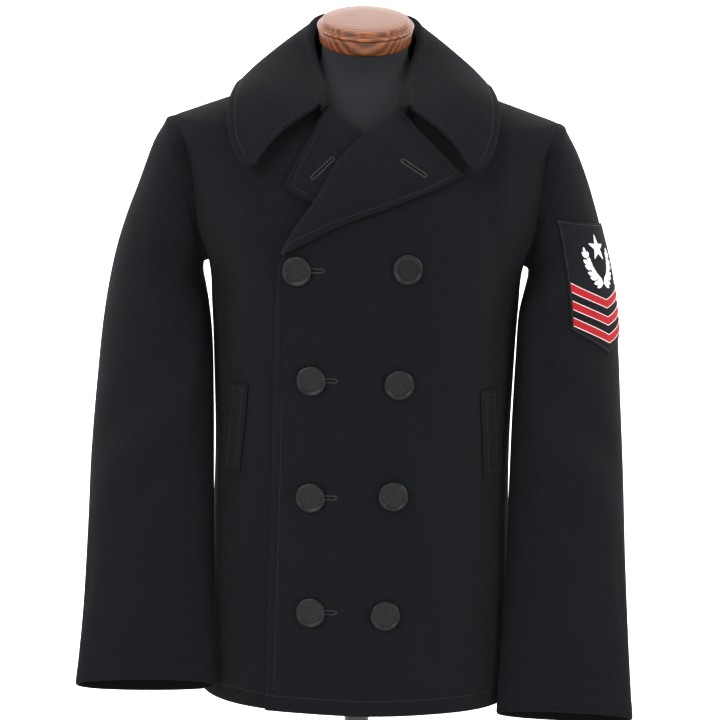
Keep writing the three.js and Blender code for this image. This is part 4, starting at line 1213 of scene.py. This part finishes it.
def domes(name, blobs):
    """Pointed domes on the badge: each is a start, an end, a half width, where it is widest, and a height."""
    verts, faces, shares = [], [], []
    along = np.linspace(0, 1, 19)[:, None]
    side = np.linspace(-1, 1, 9)[None, :]
    for (x1, y1), (x2, y2), wide, widest, tall in blobs:
        length = math.hypot(x2 - x1, y2 - y1)
        dx, dy = (x2 - x1) / length, (y2 - y1) / length
        if widest is None:
            width = wide * np.sin(math.pi * along) ** 0.8
        else:
            width = wide * np.minimum(along / widest, (1 - along) / (1 - widest))
        across = x1 + dx * length * along - dy * width * side
        down = y1 + dy * length * along + dx * width * side
        rise = tall * np.sqrt(np.clip(1 - side * side, 0, 1)) * np.clip(width / wide, 0, 1) ** 0.5
        base = BADGE_THICKNESS / 2 + 0.05
        top, _ = on_badge(across, down, base + rise)
        bottom, _ = on_badge(across, down, base - 0.02 + 0 * rise)
        rows, cols = top.shape[:2]
        first = len(verts)
        verts += top.reshape(-1, 3).tolist() + bottom.reshape(-1, 3).tolist()
        shares += [(a, s) for _ in range(2) for a in along[:, 0] * length for s in side[0]]
        for r in range(rows - 1):
            for c in range(cols - 1):
                a = first + r * cols + c
                faces.append((a, a + 1, a + cols + 1, a + cols))
                b = a + rows * cols
                faces.append((b, b + cols, b + cols + 1, b + 1))
        for r in range(rows - 1):
            for c, flip in ((0, False), (cols - 1, True)):
                a = first + r * cols + c
                quad = (a, a + cols, a + cols + rows * cols, a + rows * cols)
                faces.append(quad[::-1] if flip else quad)
        for r, flip in ((0, True), (rows - 1, False)):
            for c in range(cols - 1):
                a = first + r * cols + c
                quad = (a, a + 1, a + 1 + rows * cols, a + rows * cols)
                faces.append(quad[::-1] if flip else quad)
    piece = new_piece(name, verts, faces)
    run = piece.data.uv_layers.new(name="thread")
    corners = np.array([loop.vertex_index for loop in piece.data.loops])
    run.data.foreach_set("uv", np.array(shares)[corners].ravel())
    shape = bmesh.new()
    shape.from_mesh(piece.data)
    bmesh.ops.remove_doubles(shape, verts=shape.verts, dist=1e-6)
    bmesh.ops.dissolve_degenerate(shape, edges=shape.edges, dist=1e-7)
    bmesh.ops.recalc_face_normals(shape, faces=shape.faces)
    shape.to_mesh(piece.data)
    shape.free()
    return piece


blobs = []
for ray in range(5):
    turn = math.radians(72 * ray)
    tip = (STAR_RADIUS * math.sin(turn), STAR_DOWN - STAR_RADIUS * math.cos(turn))
    blobs.append(((0, STAR_DOWN), tip, STAR_RADIUS * 0.225, 0.31, 1.5))
stems = []
for side in (-1, 1):
    turns = np.linspace(-0.12, 1.45, 26)
    stem = np.stack([side * (4 - 1 + 23 * np.sin(turns)), 37 + 30 * np.cos(turns) - 2 * turns], axis=1)
    stem[:, 0] -= side * 3
    stems.append(stem)
    for index, at in enumerate(np.linspace(3, 24, 7)):
        low = int(at)
        x, y = stem[low]
        ahead = stem[min(low + 1, 25)] - stem[low - 1]
        lean_out = math.atan2(ahead[1], ahead[0])
        size = 12.5 - 0.7 * index
        for swing in (0.62, -0.62):
            turn = lean_out + swing
            tip = (x + size * math.cos(turn), y + size * math.sin(turn))
            blobs.append(((x, y), tip, 2.5, None, LEAF_HEIGHT))
    end, before = stem[-1], stem[-3]
    turn = math.atan2(end[1] - before[1], end[0] - before[0])
    leaf_tip = (end[0] + 10 * math.cos(turn), end[1] + 10 * math.sin(turn))
    blobs.append((tuple(end), leaf_tip, 2.2, None, LEAF_HEIGHT))
emblem = domes("badge_emblem", blobs)
stem_cords = cord_on_badge("badge_stems", stems, 0.6, BADGE_THICKNESS / 2 + 0.35)
print("domes in the emblem:", len(blobs))

# %% [markdown]
# ## Buttonholes and topstitching
# A worked buttonhole is a slit with short stitches side by side along both of its lips. The lapels show
# theirs, and the four outer buttons sit on theirs, with an end of each left in sight beside the button.

# %% Buttonholes
LIP = 1.9
PURL_STEP = 0.85


def on_lapel(name, x, z):
    """A place on a lapel's outer face, between its nearest points."""
    points, normals = (surfaces[name][key].reshape(-1, 3) for key in ("points", "normals"))
    shown = normals[:, 1] < -0.3
    points, normals = points[shown], normals[shown]
    away = np.hypot(points[:, 0] - x, points[:, 2] - z)
    near = np.argsort(away)[:6]
    weight = 1 / (away[near] ** 2 + 0.3)
    weight = weight / weight.sum()
    return weight @ points[near], unit(weight @ normals[near])


def on_front(x, z):
    out = float(upper_lift(x, np.array(z))) + CLOTH / 2
    return cloth_at(np.array(x), np.array(z), out, "upper"), torso_normal(front_angle(x, z), z)


def flat_cord(name, lines, wide, high, sides=8):
    """A cord through points on cloth, wider than it is high: used for the dark strips of painted shade in the
    buttonhole slits.
    """
    verts, faces = [], []
    for points, normals in lines:
        along = unit(np.gradient(points, axis=0))
        across = unit(np.cross(normals, along))
        ends = np.sqrt(np.clip(1 - np.linspace(-1, 1, len(points)) ** 8, 0.02, 1))
        first = len(verts)
        for point, normal, side, size in zip(points, normals, across, ends):
            for corner in range(sides):
                turn = 2 * math.pi * corner / sides
                across_part = side * math.cos(turn) * wide * size
                verts.append(point + across_part + normal * math.sin(turn) * high * size)
        for ring in range(len(points) - 1):
            for corner in range(sides):
                a, b = first + sides * ring + corner, first + sides * ring + (corner + 1) % sides
                faces.append((a, b, b + sides, a + sides))
        faces.append(tuple(first + corner for corner in range(sides - 1, -1, -1)))
        faces.append(tuple(first + sides * (len(points) - 1) + corner for corner in range(sides)))
    return face_outwards(new_piece(name, verts, faces))


def buttonhole(places):
    """The slit's line and the stitches of its lips."""
    points = np.array([point for point, _ in places])
    normals = np.array([normal for _, normal in places])
    path = resample(points, PURL_STEP)
    near = np.argmin(np.linalg.norm(path[:, None] - points[None], axis=2), axis=1)
    normals = normals[near]
    along = unit(np.gradient(path, axis=0))
    across = unit(np.cross(normals, along))
    purls = []
    for side in (-1, 1):
        for point, normal, out, run in zip(path, normals, across, along):
            purls.append((point + out * side * LIP + normal * 0.1, out, normal))
    for end, run in ((0, -1), (-1, 1)):
        for turn in np.radians([-60, -30, 0, 30, 60]):
            out = unit(along[end] * run * math.cos(turn) + across[end] * math.sin(turn))
            purls.append((path[end] + out * LIP + normals[end] * 0.1, out, normals[end]))
    return (path + normals * 0.05, normals), purls


HOLES = [
    [on_lapel("lapel_left_cloth", 38 + 24 * t, 742 - 15 * t) for t in np.linspace(0, 1, 14)],
    [on_lapel("lapel_right_cloth", -60 + 21 * t, 721.5 + 20 * t) for t in np.linspace(0, 1, 14)],
]
HOLES += [[on_front(x + 2 + 24 * t, z + 1.0) for t in np.linspace(0, 1, 14)]
          for name, x, z in BUTTONS if name.startswith("outer")]
worked = [buttonhole(places) for places in HOLES]
# The slits are dark cords whose near-black colour is painted shade inside each buttonhole's cut.
slit_painted_shade = flat_cord("buttonhole_slits", [line for line, _ in worked], 0.75, 0.22)
all_purls = [purl for _, more in worked for purl in more]
purls = stitch_mesh("buttonhole_stitches", all_purls, length=2.3, radius=0.34)
print("buttonholes:", len(worked))

# %% [markdown]
# The topstitching runs in the grooves that we pressed into the cloth: down the front edge, round the lapels
# and the collar, along the hem and round each welt.

# %% Topstitching
HEM_NAMES = ("front_left_cloth", "front_right_cloth", "back_left_cloth", "back_right_cloth")
edge_lines = [
    line_on("front_left_cloth", 0, STITCH_INSET, rows=(17, 90)),
    line_on("lapel_left_cloth", 0, STITCH_INSET), line_on("lapel_right_cloth", 0, STITCH_INSET),
    line_on("collar_cloth", 0, STITCH_INSET, rows=(14, -14)),
]
edge_stitches = sew("edge_stitches", [line for line in edge_lines if len(line[0]) > 3])
hem_lines = [line_on(name, len(surfaces[name]["grooves"]) - 1, HEM_STITCH, flip=True) for name in HEM_NAMES]
hem_stitches = sew("hem_stitches", [line for line in hem_lines if len(line[0]) > 3])
welt_lines = [
    line_on(f"pocket_welt_{word}_cloth", 0, 6.0, rows=rows, flip=flip, which=which)
    for word in ("left", "right") for flip, rows in ((False, (9, -9)), (True, (9, -9))) for which in (0, -1)
]
welt_stitches = sew("welt_stitches", [line for line in welt_lines if len(line[0]) > 3])


def badge_line(inset):
    half = BADGE_HALF - inset
    down = badge_depth(half) - inset * 1.05
    tip = badge_depth(0) - inset * 1.15
    corners = [(-half, inset), (half, inset), (half, down), (0, tip), (-half, down), (-half, inset)]
    path = [np.linspace(a, b, 40)[:-1] for a, b in zip(corners[:-1], corners[1:])]
    path = np.concatenate([*path, [corners[-1]]])
    return on_badge(path[:, 0], path[:, 1], BADGE_THICKNESS / 2)


badge_stitches = stitch_mesh("badge_stitches", stitches_on(*badge_line(2.5)), radius=0.26)

# %% [markdown]
# ## The dress form
# The form is a padded torso with no arms and no legs, under a tight jersey cover. We start from a circle and
# extrude it ring by ring, then move every ring's points to the form's own sections. Only its neck shows, but
# the whole of it is there, and the coat's shoulders rest on it.

# %% Form body
FORM_BOTTOM, NECK_TOP = 200, 858
CAP_TILT = math.radians(13)
SHOULDER_REST = 2.3
FORM = table(
    "z width front back",
    (200, 148, 104, 94), (215, 150, 107, 97), (300, 149, 110, 92), (400, 143, 104, 84), (500, 146, 108, 88),
    (600, 154, 114, 98), (650, 160, 115, 102), (700, 168, 110, 98), (740, 178, 99, 90), (768, 188, 84, 76),
    (795, 188, 70, 66), (816, 76, 56, 56), (826, 58, 51, 52), (838, 49.5, 49, 49), (858, 48, 48, 48),
)


def form_point(turn, z, share):
    shoulder = half_width(z + SHOULDER_REST)
    width = np.where(z < NECK_Z - 3, np.minimum(column(FORM, "z", z, "width"), shoulder),
                     column(FORM, "z", z, "width"))
    c, s = np.cos(turn), np.sin(turn)
    depth = np.where(s > 0, column(FORM, "z", z, "front"), column(FORM, "z", z, "back"))
    y = -depth * s * share
    tilt = math.tan(CAP_TILT) * smooth(826, NECK_TOP, z)
    return np.stack([lean(z) + width * c * share, y, z + y * tilt], axis=-1)


def form_body():
    segments = 96
    heights = np.concatenate([np.arange(200, 740, 15), np.arange(740, 812, 4), np.arange(812, 859, 2)])
    levels = [(200, 0.02), (200, 0.5), (200, 0.93), (201.5, 0.975), (204.5, 0.996)]
    levels += [(z, 1.0) for z in heights[1:]] + [(858, 0.5), (858, 0.02)]
    bpy.ops.mesh.primitive_circle_add(vertices=segments, radius=0.1, fill_type="NGON", location=(0, 0, 0.2))
    piece = bpy.context.object
    piece.name = "form_body_jersey"
    start_edit(piece)
    bpy.ops.mesh.select_all(action="SELECT")
    for _ in levels[1:]:
        bpy.ops.mesh.extrude_region_move(TRANSFORM_OT_translate={"value": (0, 0, 0.01)})
    bpy.ops.object.mode_set(mode="OBJECT")
    bpy.ops.object.transform_apply(location=True)
    place = np.array([v.co for v in piece.data.vertices])
    turn = np.arctan2(-place[:, 1], place[:, 0])
    level = np.round((place[:, 2] - 0.2) / 0.01).astype(int)
    z, share = np.array([levels[i][0] for i in level], float), np.array([levels[i][1] for i in level])
    piece.data.vertices.foreach_set("co", (form_point(turn, z, share) * MM).ravel())
    start_edit(piece)
    bpy.ops.mesh.select_all(action="SELECT")
    bpy.ops.mesh.normals_make_consistent(inside=False)
    bpy.ops.object.mode_set(mode="OBJECT")
    bpy.ops.object.shade_smooth_by_angle(angle=math.radians(50))
    return face_outwards(piece)


form = form_body()
print("form:", len(form.data.polygons), "faces,", round(volume_of(form) * 1000, 1), "litres")

# %% [markdown]
# The neck cap and the base are turned on a lathe, so each is a circle that is extruded and scaled along its
# profile. The cap is varnished, with a bead and a raised disc, and it tilts forwards with the neck.

# %% Cap, base and pole
CAP_RINGS = [
    (49.6, 0.6), (50.2, 1.2), (51.0, 3.5), (51.8, 8), (52.4, 13), (52.9, 16.2), (52.7, 16.8), (52.2, 17.1),
    (52.6, 17.5), (53.4, 18.0), (53.9, 18.8), (54.0, 19.7), (53.7, 20.6), (53.0, 21.3), (52.0, 21.6),
    (49.9, 21.7), (49.0, 21.9), (48.6, 22.4), (48.5, 24.2), (48.6, 25.4), (48.3, 26.3), (47.6, 26.9),
    (46.4, 27.2), (30, 27.5), (6, 27.7),
]
BASE_RINGS = [
    (151, 0.2), (152.4, 1.2), (153, 3), (153, 9), (152.3, 11), (150.4, 12.6), (148, 13.2), (144, 13.6),
    (143, 14.2), (142, 16), (140, 17.4), (136, 18.2), (90, 19.4), (44, 20.8), (38, 21.8), (33, 24),
    (29, 27.4), (26, 31), (24.5, 33), (23, 33.9), (21.6, 34), (16, 34),
]
BASE_TOP, POLE_RADIUS, SEAM_GAP = 34, 14, 0.3

neck_cap = turned_solid("form_neck_cap_turned", 48.6, 0.4, CAP_RINGS, 128)
cap_place = Matrix.Translation((NECK_LEAN * MM, 0, NECK_TOP * MM))
neck_cap.data.transform(cap_place @ Matrix.Rotation(CAP_TILT, 4, "X"))
base = turned_solid("stand_base_turned", 149.4, 0, BASE_RINGS, 128)
pole_top = FORM_BOTTOM - SEAM_GAP
POLE_RINGS = [
    (POLE_RADIUS, BASE_TOP + 0.9), (POLE_RADIUS, pole_top - 0.6), (POLE_RADIUS - 0.6, pole_top),
]
RING_RINGS = [
    (22, BASE_TOP + 1.2), (22, BASE_TOP + 9), (20.5, BASE_TOP + 10.6), (15, BASE_TOP + 10.8),
]
pole = turned_solid("stand_pole_tube", POLE_RADIUS - 0.6, BASE_TOP + SEAM_GAP, POLE_RINGS, 64)
collar_ring = turned_solid("stand_pole_ring", 20, BASE_TOP + 0.4, RING_RINGS, 64)
knob = turned_solid("stand_screw", 5.2, 0, [(5.6, 0.4), (5.6, 7.6), (5.2, 8), (3.2, 8.2)], 24)
SCREW_OUT, SCREW_UP = 21.6, 5.6
knob_place = Matrix.Translation((0, -SCREW_OUT * MM, (BASE_TOP + SCREW_UP) * MM))
knob.data.transform(knob_place @ Matrix.Rotation(math.pi / 2, 4, "X"))
for piece in (neck_cap, base, pole, collar_ring, knob):
    face_outwards(piece)
    deselect_all()
    bpy.context.view_layer.objects.active = piece
    piece.select_set(True)
    bpy.ops.object.shade_smooth_by_angle(angle=math.radians(35))
print("turned pieces:", [len(p.data.polygons) for p in (neck_cap, base, pole, collar_ring, knob)])

# %% [markdown]
# ## Looks
# Every look is procedural and follows the object's own coordinates, so it stays on the piece. Melton is a
# felted wool: short fibres hide the weave, so we use fine noise at two sizes and a weak bump, and no shine.

# %% Material helpers
def blank(name):
    """A material with one shader, and the object coordinates its patterns read."""
    material = bpy.data.materials.new(name)
    material.use_nodes = True
    tree = material.node_tree
    place = tree.nodes.new("ShaderNodeTexCoord")
    return material, tree, tree.nodes["Principled BSDF"], place.outputs["Object"]


def noise(tree, coords, scale, detail=3.0, roughness=0.6, stretch=None):
    if stretch:
        mapping = tree.nodes.new("ShaderNodeMapping")
        mapping.inputs["Scale"].default_value = stretch
        tree.links.new(coords, mapping.inputs["Vector"])
        coords = mapping.outputs["Vector"]
    made = tree.nodes.new("ShaderNodeTexNoise")
    made.inputs["Scale"].default_value = scale
    made.inputs["Detail"].default_value = detail
    made.inputs["Roughness"].default_value = roughness
    tree.links.new(coords, made.inputs["Vector"])
    return made.outputs["Fac"]


def wave(tree, coords, scale, distortion=0.0, direction="Z", kind="BANDS"):
    made = tree.nodes.new("ShaderNodeTexWave")
    made.wave_type = kind
    if kind == "BANDS":
        made.bands_direction = direction
    else:
        made.rings_direction = direction
    made.inputs["Scale"].default_value = scale
    made.inputs["Distortion"].default_value = distortion
    tree.links.new(coords, made.inputs["Vector"])
    return made.outputs["Fac"]


def ramp(tree, value, *stops):
    made = tree.nodes.new("ShaderNodeValToRGB")
    stops_in = made.color_ramp.elements
    while len(stops_in) < len(stops):
        stops_in.new(0.5)
    for stop, (at, colour) in zip(stops_in, stops):
        stop.position = at
        stop.color = (*colour, 1)
    tree.links.new(value, made.inputs["Fac"])
    return made.outputs["Color"]


def mixed(tree, value, first, second):
    """Two colours mixed by a value."""
    made = tree.nodes.new("ShaderNodeMix")
    made.data_type = "RGBA"
    tree.links.new(value, made.inputs["Factor"])
    for socket, colour in ((made.inputs[6], first), (made.inputs[7], second)):
        if isinstance(colour, tuple):
            socket.default_value = (*colour, 1)
        else:
            tree.links.new(colour, socket)
    return made.outputs[2]


def bump(tree, shader, value, distance, strength=1.0, before=None):
    made = tree.nodes.new("ShaderNodeBump")
    made.inputs["Distance"].default_value = distance
    made.inputs["Strength"].default_value = strength
    tree.links.new(value, made.inputs["Height"])
    if before:
        tree.links.new(before, made.inputs["Normal"])
    tree.links.new(made.outputs["Normal"], shader.inputs["Normal"])
    return made.outputs["Normal"]


def set_shader(shader, **values):
    for name, value in values.items():
        shader.inputs[name.replace("_", " ")].default_value = value


def cloth_look(name, dark, light, fibre=1500, relief=0.00022, roughness=0.95, sheen=0.008, lint=None):
    material, tree, shader, coords = blank(name)
    fibres = noise(tree, coords, fibre, detail=4, roughness=0.75)
    clouds = noise(tree, coords, 240, detail=3)
    colour = ramp(tree, fibres, (0.3, dark), (0.7, light))
    colour = mixed(tree, ramp(tree, clouds, (0.35, (0, 0, 0)), (0.65, (0.5, 0.5, 0.5))), colour, dark)
    if lint:
        spots = ramp(tree, noise(tree, coords, 620, detail=1), (0.735, (0, 0, 0)), (0.78, (1, 1, 1)))
        colour = mixed(tree, spots, colour, lint)
    tree.links.new(colour, shader.inputs["Base Color"])
    first = bump(tree, shader, clouds, relief * 1.6, 0.6)
    bump(tree, shader, fibres, relief, 0.8, before=first)
    set_shader(shader, Roughness=roughness, Specular_IOR_Level=0.04, Sheen_Weight=sheen, Sheen_Roughness=0.6)
    return material

# %% [markdown]
# The cloths first: dark wool, the badge's felt, its red bars and the form's fine-ribbed jersey.

# %% Cloth looks
WOOL_DARK, WOOL_LIGHT, LINT = (0.0020, 0.0022, 0.0028), (0.0056, 0.0060, 0.0072), (0.014, 0.015, 0.017)
wool = cloth_look("melton_wool", WOOL_DARK, WOOL_LIGHT, lint=LINT)
badge_felt = cloth_look("badge_felt", (0.0030, 0.0032, 0.0040), (0.0080, 0.0084, 0.0098), fibre=1900)
red_felt = cloth_look("red_felt", (0.17, 0.006, 0.009), (0.27, 0.012, 0.016), fibre=1700, sheen=0.02)
# Painted shade: this near-black cloth stands in for the shade inside a buttonhole's cut.
slit_painted_shade_look = cloth_look("buttonhole_slit", (0.0008, 0.0008, 0.001), (0.0016, 0.0016, 0.002), sheen=0.0)

jersey, tree, shader, coords = blank("jersey")
ribs = wave(tree, coords, 190, distortion=0.6, direction="X")
loops = wave(tree, coords, 260, distortion=0.8, direction="Z")
# The ribs' darker stripes are painted shade between the knit's ribs.
shade = mixed(tree, ribs, (0.0055, 0.006, 0.007), (0.012, 0.013, 0.0145))
shade = mixed(tree, noise(tree, coords, 90), shade, (0.008, 0.0088, 0.01))
tree.links.new(shade, shader.inputs["Base Color"])
bump(tree, shader, loops, 0.00012, 0.5, before=bump(tree, shader, ribs, 0.0002, 0.6))
set_shader(shader, Roughness=0.9, Specular_IOR_Level=0.08, Sheen_Weight=0.012, Sheen_Roughness=0.5)


def thread_look(name, colour, shaded, roughness=0.6, twist=2600):
    material, tree, shader, coords = blank(name)
    ply = wave(tree, coords, twist, distortion=1.2, direction="DIAGONAL")
    tree.links.new(mixed(tree, ply, shaded, colour), shader.inputs["Base Color"])
    bump(tree, shader, ply, 0.00008, 0.6)
    set_shader(shader, Roughness=roughness, Specular_IOR_Level=0.2)
    return material


dark_thread = thread_look("dark_thread", (0.0105, 0.0112, 0.013), (0.005, 0.0054, 0.0065))
badge_thread = thread_look("badge_edge_thread", (0.022, 0.023, 0.026), (0.010, 0.011, 0.013))
pale_thread = thread_look("pale_thread", (0.62, 0.55, 0.54), (0.38, 0.28, 0.28))

# %% [markdown]
# The embroidery's thread runs across each leaf and point, so its pattern follows the piece's own UV map. The
# darker bands between its strands are painted shade.

# %% Embroidery look
satin, tree, shader, _ = blank("satin_stitch")
uv = tree.nodes.new("ShaderNodeUVMap")
uv.uv_map = "thread"
strands = wave(tree, uv.outputs["UV"], 5.5, distortion=0.5, direction="X")
# The ramp's dark stop is painted shade between the white satin strands.
shade = ramp(tree, strands, (0.1, (0.36, 0.36, 0.38)), (0.55, (0.80, 0.80, 0.80)))
tree.links.new(shade, shader.inputs["Base Color"])
bump(tree, shader, strands, 0.0002, 0.7)
set_shader(shader, Roughness=0.5, Specular_IOR_Level=0.35)

# %% [markdown]
# Then the hard pieces: moulded buttons, varnished wood and black-painted steel.

# %% Hard looks
plastic, tree, shader, coords = blank("button_plastic")
grain = noise(tree, coords, 900, detail=2)
shade = ramp(tree, grain, (0.3, (0.0035, 0.0036, 0.004)), (0.7, (0.006, 0.0062, 0.0066)))
tree.links.new(shade, shader.inputs["Base Color"])
tree.links.new(ramp(tree, noise(tree, coords, 160), (0.3, (0.26, 0.26, 0.26)), (0.7, (0.38, 0.38, 0.38))),
               shader.inputs["Roughness"])
bump(tree, shader, grain, 0.00003, 0.5)
set_shader(shader, Specular_IOR_Level=0.13)

varnish, tree, shader, coords = blank("varnished_wood")
centre = tree.nodes.new("ShaderNodeMapping")
centre.inputs["Location"].default_value = (-0.012, 0.02, 0.0)
centre.inputs["Scale"].default_value = (1.0, 1.0, 0.12)
tree.links.new(coords, centre.inputs["Vector"])
rings = wave(tree, centre.outputs["Vector"], 55, distortion=3.5, direction="Y")
pores = noise(tree, coords, 420, detail=4, stretch=(0.08, 1.0, 0.6))
DARK_GRAIN, MIDDLE_GRAIN, PALE_GRAIN = (0.055, 0.016, 0.006), (0.115, 0.034, 0.011), (0.150, 0.048, 0.016)
PORE = (0.018, 0.006, 0.004)
warm = ramp(tree, rings, (0.1, DARK_GRAIN), (0.6, MIDDLE_GRAIN), (0.95, PALE_GRAIN))
colour = mixed(tree, ramp(tree, pores, (0.5, (0, 0, 0)), (0.72, (0.7, 0.7, 0.7))), warm, PORE)
tree.links.new(colour, shader.inputs["Base Color"])
bump(tree, shader, pores, 0.00004, 0.4)
set_shader(shader, Roughness=0.3, Specular_IOR_Level=0.2, Coat_Weight=0.08, Coat_Roughness=0.12)

steel, tree, shader, coords = blank("black_steel")
speckle = noise(tree, coords, 1300, detail=2)
shade = ramp(tree, speckle, (0.3, (0.008, 0.008, 0.009)), (0.7, (0.013, 0.013, 0.014)))
tree.links.new(shade, shader.inputs["Base Color"])
bump(tree, shader, speckle, 0.00005, 0.4)
set_shader(shader, Roughness=0.42, Specular_IOR_Level=0.5)
print("looks:", len(bpy.data.materials))

# %% [markdown]
# ## Finishing
# Each piece gets its look and rides on the part's one body. A piece that stands for a CAD node replaces it.


def finish_piece(piece, look, slot, *nodes):
    piece.data.materials.clear()
    piece.data.materials.append(look)
    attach(piece, "root")
    if nodes:
        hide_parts(*nodes)


# %% Cloth pieces
wool_pieces = [piece for group in (fronts, backs, lapels, sleeves, welts) for piece in group.values()]
for piece in (*wool_pieces, collar):
    finish_piece(piece, wool, "wool", piece.name.removesuffix("_cloth"))
finish_piece(badge, badge_felt, "badge", "sleeve_badge")
for piece in red_bars:
    finish_piece(piece, red_felt, "badge")

# %% Stitches and embroidery
finish_piece(slit_painted_shade, slit_painted_shade_look, "wool")
for piece in (purls, edge_stitches, hem_stitches, welt_stitches):
    finish_piece(piece, dark_thread, "wool")
finish_piece(badge_stitches, badge_thread, "badge")
finish_piece(bar_cords, pale_thread, "badge")
finish_piece(emblem, satin, "badge")
finish_piece(stem_cords, pale_thread, "badge")

# %% Hard pieces
for name, piece in buttons.items():
    finish_piece(piece, plastic, "button", f"button_{name}")
finish_piece(form, jersey, "jersey", "form_body")
finish_piece(neck_cap, varnish, "wood", "form_neck_cap")
finish_piece(base, varnish, "wood", "stand_base")
finish_piece(pole, steel, "steel", "stand_pole")
finish_piece(collar_ring, steel, "steel")
finish_piece(knob, steel, "steel")

# %% [markdown]
# Last, we compare the finished model's box with the CAD's box, and keep both.

# %% Sizes and the end
low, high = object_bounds()
corners = ((low, cad_low), (high, cad_high))
print("off by, mm:", [[round(abs(a - b) * 1000, 1) for a, b in zip(*pair)] for pair in corners])
